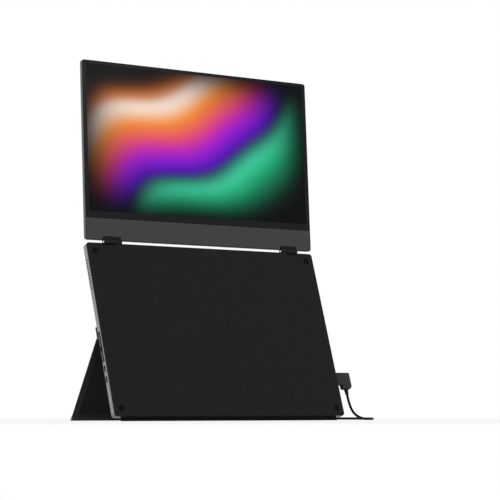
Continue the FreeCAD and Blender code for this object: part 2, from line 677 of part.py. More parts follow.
def switch(height):
    """A side-press switch on the left board, with its plunger towards the key."""
    start = -HALF_WIDTH + SWITCH_START
    depth = (BOARD_FRONT - SWITCH_THICKNESS, BOARD_FRONT)
    body = block((start, start + SWITCH_REACH), depth, around(height, SWITCH_LENGTH))
    plunger_start = Vec(-HALF_WIDTH + PLUNGER_START, sum(depth) / 2, height)
    return merged([body, rod(plunger_start, ALONG, PLUNGER_RADIUS, SWITCH_START - PLUNGER_START + SPARE)])


def speaker():
    """The left speaker box, which sits on the casing's side and back walls."""
    x = (-HALF_WIDTH + BASE_SIDE_WALL, -HALF_WIDTH + BASE_SIDE_WALL + SPEAKER_WIDTH)
    height = (SPEAKER_LOW, SPEAKER_LOW + SPEAKER_TALL)
    box = rounded_plate(x, (SPEAKER_FRONT, BASE_CAVITY_BACK), height, SPEAKER_CORNER)
    mouth = (SOUND_HOLE_LOW - SPARE, SOUND_HOLE_LOW + SOUND_HOLE_COUNT * SOUND_HOLE_PITCH)
    mouth_depth = (SOUND_HOLE_ROWS[0] - SPARE, SOUND_HOLE_ROWS[1] + SPARE)
    return box.cut(block((x[0] - SPARE, x[0] + SPARE), mouth_depth, mouth))


def strip_screw(x):
    """A sunk screw through the stand's fixed strip into the base's back wall."""
    head = BASE_DEPTH + STAND_THICKNESS
    middle = (STAND_FOLD_HEIGHT + KNUCKLE_ROOM + STRIP_TOP) / 2
    return flat_screw(x, head, middle, Vec(0, -1, 0), STAND_THICKNESS + STRIP_SCREW_BITE)


def cover_pads():
    """Four round pads on the base's front, which keep the closed display off it."""
    places = [
        (x, height)
        for x in (-HALF_WIDTH + PAD_INSET, HALF_WIDTH - PAD_INSET)
        for height in (PAD_INSET, BASE_HEIGHT - PAD_INSET)
    ]
    pads = [rod(Vec(x, -PAD_THICKNESS, h), BACK, PAD_RADIUS, PAD_THICKNESS) for x, h in places]
    return Part.makeCompound(pads)


def base_parts():
    """Everything that is fixed to the base panel, in its panel coordinates."""
    outer = panel_form((COVER_THICKNESS, BASE_DEPTH), BASE_HEIGHT, BASE_BACK_ROUND)
    leaf = hinge_leaf(BASE_BARREL, BASE_AXIS_HEIGHT, -1, HINGE_PIN_RADIUS + PIN_RUNNING_GAP)
    small_screws = []
    for x, height in BASE_BOARDS[1:]:
        small_screws += board_screws(x, BOARD_FRONT, height, BOARD_STANDOFF)
    rocker_switches = around(ROCKER_HEIGHT, 2 * ROCKER_SWITCH_OFFSET)
    switches = [switch(height) for height in (POWER_KEY_HEIGHT,) + rocker_switches]
    return {
        "base_rear_shell": base_rear_shell(outer),
        "base_end_cap": base_end_cap(outer),
        "base_front_cover": base_front_cover(),
        "cover_pads": cover_pads(),
        "main_board": board(MAIN_BOARD_X, BOARD_FRONT, MAIN_BOARD_HEIGHT, MAIN_CHIPS),
        "main_board_screws": Part.makeCompound(
            board_screws(MAIN_BOARD_X, BOARD_FRONT, MAIN_BOARD_HEIGHT, BOARD_STANDOFF)
        ),
        "left_port_board": board(LEFT_BOARD_X, BOARD_FRONT, LEFT_BOARD_HEIGHT, PORT_CHIPS),
        "right_port_board": board(RIGHT_BOARD_X, BOARD_FRONT, RIGHT_BOARD_HEIGHT, PORT_CHIPS),
        "port_board_screws": Part.makeCompound(small_screws),
        "left_lower_port": port(LEFT_LOWER_PORT_HEIGHT),
        "left_upper_port": port(LEFT_UPPER_PORT_HEIGHT),
        "right_port": mirrored(port(RIGHT_PORT_HEIGHT)),
        "key_switches": Part.makeCompound(switches),
        "left_speaker": speaker(),
        "right_speaker": mirrored(speaker()),
        "left_base_hinge_leaf": leaf,
        "right_base_hinge_leaf": mirrored(leaf),
        "base_hinge_screws": leaf_screws(BASE_BARREL, BASE_AXIS_HEIGHT, -1),
    }


STAND_X = (-HALF_WIDTH + STAND_SIDE_GAP, HALF_WIDTH - STAND_SIDE_GAP)
STAND_AXIS_DEPTH = BASE_DEPTH + KNUCKLE_STANDOFF


def knuckle_spans(first):
    """The x of every other knuckle along the stand's hinge, from the one numbered first."""
    length = (STAND_X[1] - STAND_X[0] - (KNUCKLE_COUNT - 1) * KNUCKLE_GAP) / KNUCKLE_COUNT
    starts = [STAND_X[0] + n * (length + KNUCKLE_GAP) for n in range(first, KNUCKLE_COUNT, 2)]
    return [(start, start + length) for start in starts]


def stand_mount_strip():
    """The stand's fixed strip on the base's back, with its knuckles and screw holes."""
    depth = (BASE_DEPTH, BASE_DEPTH + STAND_THICKNESS)
    strip = block(STAND_X, depth, (STAND_FOLD_HEIGHT + KNUCKLE_ROOM, STRIP_TOP))
    pieces = [strip]
    for span in knuckle_spans(0):
        start = Vec(span[0], STAND_AXIS_DEPTH, STAND_FOLD_HEIGHT)
        pieces.append(rod(start, ALONG, KNUCKLE_RADIUS, span[1] - span[0]))
        neck = (STAND_AXIS_DEPTH - KNUCKLE_RADIUS, depth[1])
        pieces.append(block(span, neck, (STAND_FOLD_HEIGHT, STAND_FOLD_HEIGHT + KNUCKLE_ROOM)))
    strip = merged(pieces)
    strip = strip.cut(stand_hinge_pin())
    for x in STRIP_SCREW_PLACES:
        strip = strip.cut(strip_screw(x))
    return strip


def stand_hinge_pin():
    """The long pin of the stand's hinge."""
    start = Vec(STAND_X[0], STAND_AXIS_DEPTH, STAND_FOLD_HEIGHT)
    return rod(start, ALONG, STAND_PIN_RADIUS, STAND_X[1] - STAND_X[0])


def stand_plate(reach):
    """The swinging plate, hanging straight down from the pin's axis at the origin."""
    depth = around(0, STAND_THICKNESS)
    plain = block(STAND_X, depth, (-reach + STAND_FOOT_BELOW, -KNUCKLE_ROOM))
    low = [edge for edge in edges_along(plain, BACK) if edge.BoundBox.ZMax < -reach / 2]
    pieces = [plain.makeFillet(STAND_CORNER, low)]
    for span in knuckle_spans(1):
        pieces.append(rod(Vec(span[0], 0, 0), ALONG, KNUCKLE_RADIUS, span[1] - span[0]))
        pieces.append(block(span, depth, (-KNUCKLE_ROOM, 0)))
    bore = rod(Vec(STAND_X[0], 0, 0), ALONG, STAND_PIN_RADIUS + PIN_RUNNING_GAP, FAR)
    return merged(pieces).cut(bore)


def stand_foot_strip(reach, plate):
    """The rubber edge that grips the plate's lower end."""
    height = (-reach - STAND_FOOT_GRIP, -reach + STAND_FOOT_BELOW + STAND_FOOT_GRIP)
    edge = block(STAND_X, around(0, STAND_FOOT_THICKNESS), height)
    return edge.cut(plate)


def above_table(shape):
    """The part of a shape that is above the table."""
    return shape.common(block((-FAR, FAR), (-FAR, FAR), (0, FAR)))


def base_foot_strip(placement):
    """The rubber strip under the base, stood up and cut level with the table."""
    x = (-HALF_WIDTH + FOOT_END_GAP, HALF_WIDTH - FOOT_END_GAP)
    strip = rounded_plate(x, (FOOT_FRONT, FOOT_BACK), (-BASE_DEPTH, 0), BOARD_CORNER, UP)
    return above_table(stood(strip, placement))


def shell_of_plug(x_start, depth, height, reach):
    """A plug's metal shell along x, open at its tip."""
    x = (x_start, x_start + reach)
    outer = slot_form(x, depth, height, PLUG_SHELL_THICKNESS, PLUG_SHELL_LENGTH)
    thin = 2 * PLUG_SHELL_WALL
    room = (x[0] - SPARE, x[1] - SPARE)
    return outer.cut(slot_form(room, depth, height, PLUG_SHELL_THICKNESS - thin, PLUG_SHELL_LENGTH - thin))


def plug_body():
    """The moulded right-angle body of the plug in the right port."""
    left = HALF_WIDTH + PLUG_START
    right = HALF_WIDTH + PLUG_OUTER
    outline = [
        (left, PLUG_TOP),
        (right - PLUG_CHAMFER / 2, PLUG_TOP),
        (right, PLUG_TOP - PLUG_CHAMFER / 2),
        (right, PLUG_BOTTOM + PLUG_CHAMFER),
        (right - PLUG_CHAMFER, PLUG_BOTTOM),
        (HALF_WIDTH + PLUG_HEEL_OUT + PLUG_CHAMFER / 2, PLUG_BOTTOM),
        (HALF_WIDTH + PLUG_HEEL_OUT, PLUG_BOTTOM + PLUG_CHAMFER / 2),
        (HALF_WIDTH + PLUG_HEEL_OUT, PLUG_HEEL),
        (left, PLUG_HEEL),
    ]
    front = PORT_DEPTH - PLUG_THICKNESS / 2
    points = [Vec(x, front, height) for x, height in outline]
    face = Part.Face(Part.makePolygon(points + points[:1]))
    body = face.extrude(Vec(0, PLUG_THICKNESS, 0))
    flat = edges_at_depth(body, front) + edges_at_depth(body, front + PLUG_THICKNESS)
    return body.makeFillet(PLUG_EDGE_ROUND, flat)


def strain_relief(start, direction):
    """A tapered strain relief with ribs, from a plug body to the cord."""
    relief = Part.makeCone(RELIEF_BASE_RADIUS, RELIEF_TIP_RADIUS, RELIEF_LENGTH, start, direction)
    step = RELIEF_LENGTH / (2 * RELIEF_RIBS + 1)
    for rib in range(RELIEF_RIBS):
        at = start + direction * (step * (2 * rib + 1))
        ring = rod(at, direction, RELIEF_BASE_RADIUS + SPARE, step)
        share = (2 * rib + 1.5) * step / RELIEF_LENGTH
        neck = RELIEF_BASE_RADIUS + (RELIEF_TIP_RADIUS - RELIEF_BASE_RADIUS) * share - RELIEF_RIB_DEPTH
        relief = relief.cut(ring.cut(rod(at, direction, neck, step)))
    return relief


def plug_parts():
    """The plug in the right port, in the base's panel coordinates."""
    shell_start = HALF_WIDTH - PLUG_SHELL_REACH
    shell_reach = PLUG_SHELL_REACH + PLUG_START
    relief_start = Vec(HALF_WIDTH + CABLE_OUT, PORT_DEPTH, PLUG_BOTTOM)
    return {
        "plug_shell": shell_of_plug(shell_start, PORT_DEPTH, RIGHT_PORT_HEIGHT, shell_reach),
        "plug_body": plug_body(),
        "plug_strain_relief": strain_relief(relief_start, Vec(0, 0, -1)),
    }


def cord_path(points):
    """Straight runs joined by tangent arcs, as edges, and the radii of the arcs."""
    edges = []
    radii = []
    start = points[0]
    for before, here, after in zip(points, points[1:], points[2:]):
        back = before - here
        on = after - here
        trim = CORD_ARC_SHARE * min(back.Length, on.Length)
        half_turn = (math.pi - back.getAngle(on)) / 2
        radius = trim / math.tan(half_turn)
        back.normalize()
        on.normalize()
        middle = back + on
        middle.normalize()
        inside = here + middle * (radius / math.cos(half_turn) - radius)
        edges.append(Part.LineSegment(start, here + back * trim).toShape())
        edges.append(Part.Arc(here + back * trim, inside, here + on * trim).toShape())
        start = here + on * trim
        radii.append(radius)
    edges.append(Part.LineSegment(start, points[-1]).toShape())
    return edges, radii


def cord_tube(points):
    """The cord where it isn't coiled."""
    edges, radii = cord_path(points)
    path = Part.Wire(edges)
    ring = Part.Wire(Part.makeCircle(CORD_RADIUS, points[0], points[1] - points[0]))
    tube = path.makePipeShell([ring], True, False)
    runs = [(b - a).Length for a, b in zip(points, points[1:])]
    print("cord radii", [round(radius, 1) for radius in radii])
    print("cord runs", [round(run, 1) for run in runs])
    print("cord length", round(path.Length, 1), "volume share",
          round(tube.Volume / (math.pi * CORD_RADIUS ** 2 * path.Length), 4))
    return tube


def cord_coil():
    """The outer form of the wound-up part of the cord."""
    centre = Vec(COIL_CENTRE_X, COIL_CENTRE_Y, 0)
    outer = rod(centre, UP, COIL_OUTER_RADIUS, COIL_TALL)
    coil = outer.cut(rod(centre, UP, COIL_INNER_RADIUS, COIL_TALL))
    return coil.makeChamfer(COIL_BEVEL, [e for e in coil.Edges if len(e.Vertexes) == 1])


def end_plug_parts():
    """The far end of the cord: a short tail off the coil, and a straight plug on the table."""
    middle = END_PLUG_THICKNESS / 2
    y = COIL_CENTRE_Y + TAIL_RADIUS
    tail_start = COIL_CENTRE_X - math.sqrt(COIL_OUTER_RADIUS ** 2 - TAIL_RADIUS ** 2) + CORD_RADIUS
    relief_tip = tail_start - TAIL_LENGTH
    body_end = relief_tip - RELIEF_LENGTH
    body_start = body_end - END_PLUG_LENGTH
    body = block((body_start, body_end), around(y, END_PLUG_WIDTH), (0, END_PLUG_THICKNESS))
    body = body.makeFillet(END_PLUG_ROUND, edges_along(body, ALONG))
    shell = shell_of_plug(body_start - PLUG_SHELL_REACH, 0, 0, PLUG_SHELL_REACH)
    shell.rotate(Vec(0, 0, 0), ALONG, 90)
    shell.translate(Vec(0, y, middle))
    return {
        "cord_tail": rod(Vec(relief_tip, y, middle), ALONG, CORD_RADIUS, TAIL_LENGTH),
        "end_plug_strain_relief": strain_relief(Vec(body_end, y, middle), ALONG),
        "end_plug_body": body,
        "end_plug_shell": shell,
    }


def build():
    """Make every piece where it stands, with the origin on the table under the middle."""
    rise = TABLE_CLEARANCE + BASE_DEPTH * math.sin(math.radians(BASE_LEAN))
    base_at = FreeCAD.Placement(Vec(0, 0, rise), FreeCAD.Rotation(ALONG, -BASE_LEAN))
    hinge = base_at.multVec(Vec(0, -HINGE_PROUD, BASE_AXIS_HEIGHT))
    panel_offset = FreeCAD.Placement(Vec(0, HINGE_PROUD, HINGE_GAP / 2), FreeCAD.Rotation())
    display_at = FreeCAD.Placement(hinge, FreeCAD.Rotation(ALONG, -DISPLAY_LEAN)).multiply(panel_offset)
    pin = base_at.multVec(Vec(0, STAND_AXIS_DEPTH, STAND_FOLD_HEIGHT))
    stand_lean = STAND_SWING - BASE_LEAN
    reach = pin.z / math.cos(math.radians(stand_lean))
    stand_at = FreeCAD.Placement(pin, FreeCAD.Rotation(ALONG, stand_lean))

    parts = {name: stood(shape, display_at) for name, shape in display_parts().items()}
    parts.update({name: stood(shape, base_at) for name, shape in base_parts().items()})
    parts["base_foot_strip"] = base_foot_strip(base_at)
    parts["power_key"] = stood(key(POWER_KEY_HEIGHT, POWER_KEY_LENGTH, POWER_FLANGE_GAP), base_at)
    rocker = key(ROCKER_HEIGHT, ROCKER_LENGTH, ROCKER_FLANGE_GAP)
    rocker = merged([rocker, rocker_pivot(ROCKER_PIVOT_RADIUS, ROCKER_PIVOT_REACH)])
    parts["rocker_key"] = stood(rocker, base_at)
    parts["stand_mount_strip"] = stood(stand_mount_strip(), base_at)
    parts["stand_strip_screws"] = stood(
        Part.makeCompound([strip_screw(x) for x in STRIP_SCREW_PLACES]), base_at
    )
    parts["stand_hinge_pin"] = stood(stand_hinge_pin(), base_at)
    plate = stand_plate(reach)
    parts["stand_plate"] = stood(plate, stand_at)
    parts["stand_foot_strip"] = above_table(stood(stand_foot_strip(reach, plate), stand_at))

    front = min(shape.BoundBox.YMin for shape in parts.values())
    behind = max(shape.BoundBox.YMax for shape in parts.values())
    parts.update({name: stood(shape, base_at) for name, shape in plug_parts().items()})
    to_middle = FreeCAD.Placement(Vec(0, -(front + behind) / 2, 0), FreeCAD.Rotation())
    parts = {name: stood(shape, to_middle) for name, shape in parts.items()}

    tip = Vec(HALF_WIDTH + CABLE_OUT, PORT_DEPTH, PLUG_BOTTOM - RELIEF_LENGTH)
    tip = to_middle.multVec(base_at.multVec(tip))
    below = tip + base_at.Rotation.multVec(Vec(0, 0, -CORD_DROP))
    parts["power_cord"] = cord_tube([tip, below] + [Vec(HALF_WIDTH + out, y, z) for out, y, z in CORD_ROUTE])
    parts["cord_coil"] = cord_coil()
    parts.update(end_plug_parts())

    places = {
        "display_hinge": hinge,
        "stand_hinge": pin,
        "power_key": base_at.multVec(Vec(-HALF_WIDTH, PORT_DEPTH, POWER_KEY_HEIGHT)),
        "rocker_key": base_at.multVec(Vec(ROCKER_AXIS_X, PORT_DEPTH, ROCKER_HEIGHT)),
        "left_lower_port": base_at.multVec(Vec(-HALF_WIDTH, PORT_DEPTH, LEFT_LOWER_PORT_HEIGHT)),
        "left_upper_port": base_at.multVec(Vec(-HALF_WIDTH, PORT_DEPTH, LEFT_UPPER_PORT_HEIGHT)),
        "right_port": base_at.multVec(Vec(HALF_WIDTH, PORT_DEPTH, RIGHT_PORT_HEIGHT)),
        "lid_pad": base_at.multVec(Vec(PAD_INSET - HALF_WIDTH, -PAD_THICKNESS, BASE_HEIGHT - PAD_INSET)),
        "base_origin": base_at.multVec(Vec(0, 0, 0)),
        "display_origin": display_at.multVec(Vec(0, 0, 0)),
    }
    for name, place in places.items():
        at = to_middle.multVec(place)
        print("place", name, round(at.x, 4), round(at.y, 4), round(at.z, 4))
    print("place cord_exit", round(tip.x, 4), round(tip.y, 4), round(tip.z, 4))
    return parts


os.makedirs("parts", exist_ok=True)
for part_name, part_shape in build().items():
    whole(part_shape).exportStep("parts/" + part_name + ".step")
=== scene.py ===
"""A folding second screen for a portable computer, dressed for its portrait.

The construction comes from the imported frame. This script adds the finishes, the lit picture,
the cord's smooth line with its wound-up turns, small moulded detail, the table, the lamps and
the camera. A class says in which units its own sizes are.
"""

import logging
import math
from dataclasses import dataclass, field
from enum import Enum
from typing import ClassVar, Optional, Sequence, Union

import bmesh
import bpy
from mathutils import Matrix, Vector


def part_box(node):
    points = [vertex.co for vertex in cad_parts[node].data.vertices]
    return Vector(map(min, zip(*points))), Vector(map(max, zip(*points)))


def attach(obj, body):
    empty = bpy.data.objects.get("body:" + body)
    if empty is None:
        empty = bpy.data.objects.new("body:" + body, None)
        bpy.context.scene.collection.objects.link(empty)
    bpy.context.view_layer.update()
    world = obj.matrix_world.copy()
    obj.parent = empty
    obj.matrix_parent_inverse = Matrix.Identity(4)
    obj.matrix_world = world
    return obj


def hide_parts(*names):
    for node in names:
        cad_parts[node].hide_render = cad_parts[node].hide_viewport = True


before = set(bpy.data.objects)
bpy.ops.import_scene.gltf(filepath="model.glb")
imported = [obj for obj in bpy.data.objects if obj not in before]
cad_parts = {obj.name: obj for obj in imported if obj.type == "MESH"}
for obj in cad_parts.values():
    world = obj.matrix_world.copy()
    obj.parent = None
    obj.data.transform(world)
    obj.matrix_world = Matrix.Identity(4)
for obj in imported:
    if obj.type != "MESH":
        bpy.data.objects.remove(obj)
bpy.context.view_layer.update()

LOG = logging.getLogger("second_screen")
MM = 0.001

Colour = tuple[float, float, float]
Point = tuple[float, float, float]
Socket = bpy.types.NodeSocket
Value = Union[Socket, float]


def linear(red: float, green: float, blue: float) -> Colour:
    """Turn a screen colour of 0 to 255 into the renderer's own scale.

    Args:
        red: The red share, from 0 to 255.
        green: The green share, from 0 to 255.
        blue: The blue share, from 0 to 255.

    Returns:
        The three shares on a linear scale from 0 to 1.
    """

    def one(value: float) -> float:
        """Return one share on the linear scale."""
        share = value / 255
        return share / 12.92 if share <= 0.04045 else ((share + 0.055) / 1.055) ** 2.4

    return one(red), one(green), one(blue)


class Body(Enum):
    """The bodies that an added piece can ride on."""

    BASE = "base"
    STAND = "stand"


class Slot(Enum):
    """The material slots that an added piece can count under."""

    GREY_METAL = "grey_metal"
    BLACK_PLASTIC = "black_plastic"
    STAND_BLACK = "stand_black"
    PLUG_PLASTIC = "plug_plastic"
    CORD_BLACK = "cord_black"


class Course(Enum):
    """How a value runs from one end of a range to the other."""

    STRAIGHT = "LINEAR"
    SOFT = "SMOOTHSTEP"


class Grain(Enum):
    """The kinds of fine surface texture."""

    NONE = "none"
    BLASTED = "blasted"
    MOULDED = "moulded"
    RUBBER = "rubber"
    BRUSHED = "brushed"


class Shading:
    """A short way to put together a material's nodes."""

    USUAL_NOISE: ClassVar[tuple[float, float]] = (0.3, 0.7)

    def __init__(self, name: str) -> None:
        """Make an empty material.

        Args:
            name: The material's name.
        """
        self.material = bpy.data.materials.new(name)
        self.material.use_nodes = True
        self.nodes = self.material.node_tree.nodes
        self.links = self.material.node_tree.links
        self.shader = self.nodes["Principled BSDF"]

    def node(self, kind: str, **values: object) -> bpy.types.Node:
        """Add a node and set its properties.

        Args:
            kind: The node's type name.
            values: Properties to set on the node.

        Returns:
            The new node.
        """
        made = self.nodes.new(kind)
        for key, value in values.items():
            setattr(made, key, value)
        return made

    def join(self, start: Socket, end: Socket) -> None:
        """Link an output to an input."""
        self.links.new(start, end)

    def math(
        self, operation: str, first: Value, second: Optional[Value] = None, clamp: bool = False
    ) -> Socket:
        """Add a calculation on one or two values.

        Args:
            operation: The calculation's name.
            first: A socket or a number.
            second: A socket, a number or nothing.
            clamp: Whether the result is kept between 0 and 1.

        Returns:
            The result's socket.
        """
        made = self.node("ShaderNodeMath", operation=operation, use_clamp=clamp)
        for socket, value in zip(made.inputs, (first, second)):
            if value is None:
                continue
            if isinstance(value, Socket):
                self.join(value, socket)
            else:
                socket.default_value = value
        return made.outputs[0]

    def position(self) -> Socket:
        """Return the place of a surface point on its own object, in metres."""
        return self.node("ShaderNodeTexCoord").outputs["Object"]

    def noise(
        self, scale: float, detail: float = 2.0, stretch: Sequence[float] = (1, 1, 1)
    ) -> Socket:
        """Add a noise that is fixed to the object.

        Args:
            scale: Cells per metre.
            detail: How many finer layers it has.
            stretch: How much the noise is squeezed along each axis.

        Returns:
            The noise's value, about 0.5 on average.
        """
        place = self.node("ShaderNodeMapping")
        place.inputs["Scale"].default_value = stretch
        self.join(self.position(), place.inputs["Vector"])
        made = self.node("ShaderNodeTexNoise")
        made.inputs["Scale"].default_value = scale
        made.inputs["Detail"].default_value = detail
        self.join(place.outputs[0], made.inputs["Vector"])
        return made.outputs[0]

    def spread(
        self,
        value: Socket,
        before: Sequence[float],
        after: Sequence[float],
        course: Course = Course.STRAIGHT,
    ) -> Socket:
        """Carry a value from one range to another.

        Args:
            value: The value's socket.
            before: The two ends that the value runs between.
            after: What those ends become.
            course: How it runs from end to end.

        Returns:
            The carried value's socket.
        """
        made = self.node("ShaderNodeMapRange", interpolation_type=course.value)
        names = ("From Min", "From Max", "To Min", "To Max")
        for name, number in zip(names, (*before, *after)):
            made.inputs[name].default_value = number
        self.join(value, made.inputs["Value"])
        return made.outputs[0]

    def mix(
        self, share: Socket, first: Union[Socket, Colour], second: Union[Socket, Colour]
    ) -> Socket:
        """Mix two colours.

        Args:
            share: How much of the second there is.
            first: A colour or its socket.
            second: A colour or its socket.

        Returns:
            The mixed colour's socket.
        """
        made = self.node("ShaderNodeMix", data_type="RGBA")
        self.join(share, made.inputs["Factor"])
        for socket, value in ((made.inputs[6], first), (made.inputs[7], second)):
            if isinstance(value, Socket):
                self.join(value, socket)
            else:
                socket.default_value = (*value, 1.0)
        return made.outputs[2]

    def aligned(self, direction: Socket, other: Union[Socket, Point]) -> Socket:
        """Say how far two directions agree.

        Args:
            direction: A direction's socket.
            other: Another direction or its socket.

        Returns:
            1 where they are the same, and 0 where they stand square to each other.
        """
        made = self.node("ShaderNodeVectorMath", operation="DOT_PRODUCT")
        self.join(direction, made.inputs[0])
        if isinstance(other, Socket):
            self.join(other, made.inputs[1])
        else:
            made.inputs[1].default_value = other
        return made.outputs["Value"]

    def bump(self, height: Socket, strength: float, distance: float) -> None:
        """Let a height raise the surface.

        Args:
            height: The height's socket.
            strength: How strong the relief is, from 0 to 1.
            distance: The relief's height in metres.
        """
        made = self.node("ShaderNodeBump")
        made.inputs["Strength"].default_value = strength
        made.inputs["Distance"].default_value = distance
        self.join(height, made.inputs["Height"])
        self.join(made.outputs[0], self.shader.inputs["Normal"])


@dataclass(frozen=True)
class Finish:
    """The finish of a surface: its colour, gloss and fine texture."""

    name: str
    colour: Colour
    roughness: float = 0.5
    metallic: float = 0.0
    grain: Grain = Grain.NONE
    variation: float = 0.06
    relief: float = 0.1
    coat: float = 0.0
    # How much the rounded edges are lightened, from 0 to 1.
    edge_lightening: float = 0.0
    specular: float = 0.5

    GRAIN_SCALES: ClassVar[dict[Grain, float]] = {
        Grain.BLASTED: 2600.0,
        Grain.MOULDED: 1800.0,
        Grain.RUBBER: 1200.0,
        Grain.BRUSHED: 900.0,
    }
    CLOUD: ClassVar[tuple[float, float]] = (28.0, 3.0)
    SMUDGE: ClassVar[tuple[float, float]] = (75.0, 4.0)
    DULLER_AND_GLOSSIER: ClassVar[tuple[float, float]] = (0.9, 1.12)
    BRUSH_STRETCH: ClassVar[Point] = (0.03, 1, 1)
    GRAIN_DEPTH: ClassVar[float] = 0.06 * MM
    COAT_ROUGHNESS: ClassVar[float] = 0.08
    # The bevel that finds the rounded edges, and how much lighter those edges become.
    EDGE_SAMPLES: ClassVar[int] = 4
    EDGE_RADIUS: ClassVar[float] = 0.5 * MM
    EDGE_GAIN: ClassVar[float] = 1.9
    EDGE_LIFT: ClassVar[float] = 0.03

    def build(self) -> bpy.types.Material:
        """Make the material.

        Returns:
            The material, with its colour, roughness and relief from nodes.
        """
        made = Shading(self.name)
        shader = made.shader
        dark = tuple(share * (1 - self.variation) for share in self.colour)
        light = tuple(min(1.0, share * (1 + self.variation)) for share in self.colour)
        colour = made.mix(made.noise(*self.CLOUD), dark, light)
        if self.edge_lightening:
            colour = self.lighten_edges(made, colour)
        made.join(colour, shader.inputs["Base Color"])
        gloss = [min(1.0, self.roughness * share) for share in self.DULLER_AND_GLOSSIER]
        smudge = made.spread(made.noise(*self.SMUDGE), made.USUAL_NOISE, gloss)
        made.join(smudge, shader.inputs["Roughness"])
        shader.inputs["Metallic"].default_value = self.metallic
        shader.inputs["Specular IOR Level"].default_value = self.specular
        shader.inputs["Coat Weight"].default_value = self.coat
        shader.inputs["Coat Roughness"].default_value = self.COAT_ROUGHNESS
        if self.grain is not Grain.NONE:
            stretch = self.BRUSH_STRETCH if self.grain is Grain.BRUSHED else (1, 1, 1)
            fine = made.noise(self.GRAIN_SCALES[self.grain], stretch=stretch)
            made.bump(fine, self.relief, self.GRAIN_DEPTH)
        return made.material

    def lighten_edges(self, made: Shading, colour: Socket) -> Socket:
        """Lighten the rounded edges, which a bevel finds.

        Args:
            made: The material's nodes.
            colour: The colour so far.

        Returns:
            The colour with its edges lightened.
        """
        bevel = made.node("ShaderNodeBevel", samples=self.EDGE_SAMPLES)
        bevel.inputs["Radius"].default_value = self.EDGE_RADIUS
        shape = made.node("ShaderNodeNewGeometry")
        flat = made.aligned(bevel.outputs[0], shape.outputs["Normal"])
        edge = made.math("SUBTRACT", 1.0, flat, clamp=True)
        edge = made.math("MULTIPLY", edge, self.edge_lightening, clamp=True)
        pale = tuple(min(1.0, share * self.EDGE_GAIN + self.EDGE_LIFT) for share in self.colour)
        return made.mix(edge, colour, pale)


@dataclass(frozen=True)
class RimmedFinish(Finish):
    """A casing whose forward-facing rim, which frames a glass, has a colour of its own.

    The lean is how far the casing leans back, in degrees. The rim is whatever faces forward by
    at least the named amount, where 1 is straight forward.
    """

    rim: Colour = linear(14, 14, 15)
    lean: float = 3.4
    least_facing: float = 0.93

    def lighten_edges(self, made: Shading, colour: Socket) -> Socket:
        """Lighten the edges, and colour what faces forward as the rim.

        Args:
            made: The material's nodes.
            colour: The colour so far.

        Returns:
            The colour with its edges and its rim.
        """
        edged = super().lighten_edges(made, colour)
        lean = math.radians(self.lean)
        forward = (0.0, -math.cos(lean), math.sin(lean))
        facing = made.aligned(made.node("ShaderNodeTexCoord").outputs["Normal"], forward)
        return made.mix(made.math("GREATER_THAN", facing, self.least_facing), edged, self.rim)


@dataclass(frozen=True)
class Band:
    """A colour at one place across the picture's ribbons, from 0 to 1."""

    at: float
    colour: Colour


PICTURE_BANDS = (
    Band(0.00, linear(4, 4, 6)),
    Band(0.13, linear(5, 12, 12)),
    Band(0.22, linear(20, 120, 84)),
    Band(0.29, linear(35, 178, 120)),
    Band(0.35, linear(66, 208, 166)),
    Band(0.41, linear(6, 8, 16)),
    Band(0.47, linear(92, 18, 205)),
    Band(0.54, linear(168, 26, 200)),
    Band(0.60, linear(222, 60, 120)),
    Band(0.66, linear(236, 110, 70)),
    Band(0.72, linear(246, 150, 24)),
    Band(0.79, linear(248, 246, 238)),
    Band(0.84, linear(222, 120, 30)),
    Band(0.91, linear(40, 14, 6)),
    Band(1.00, linear(4, 4, 5)),
)


@dataclass(frozen=True)
class Wave:
    """One of the waves that bend the picture's ribbons."""

    rate: float
    start: float
    height: float

    def build(self, made: Shading, along: Socket) -> Socket:
        """Return how far the wave lifts a place.

        Args:
            made: The material's nodes.
            along: The place along the ribbons.

        Returns:
            The lift.
        """
        turn = made.math("ADD", made.math("MULTIPLY", along, self.rate), self.start)
        return made.math("MULTIPLY", made.math("SINE", turn), self.height)


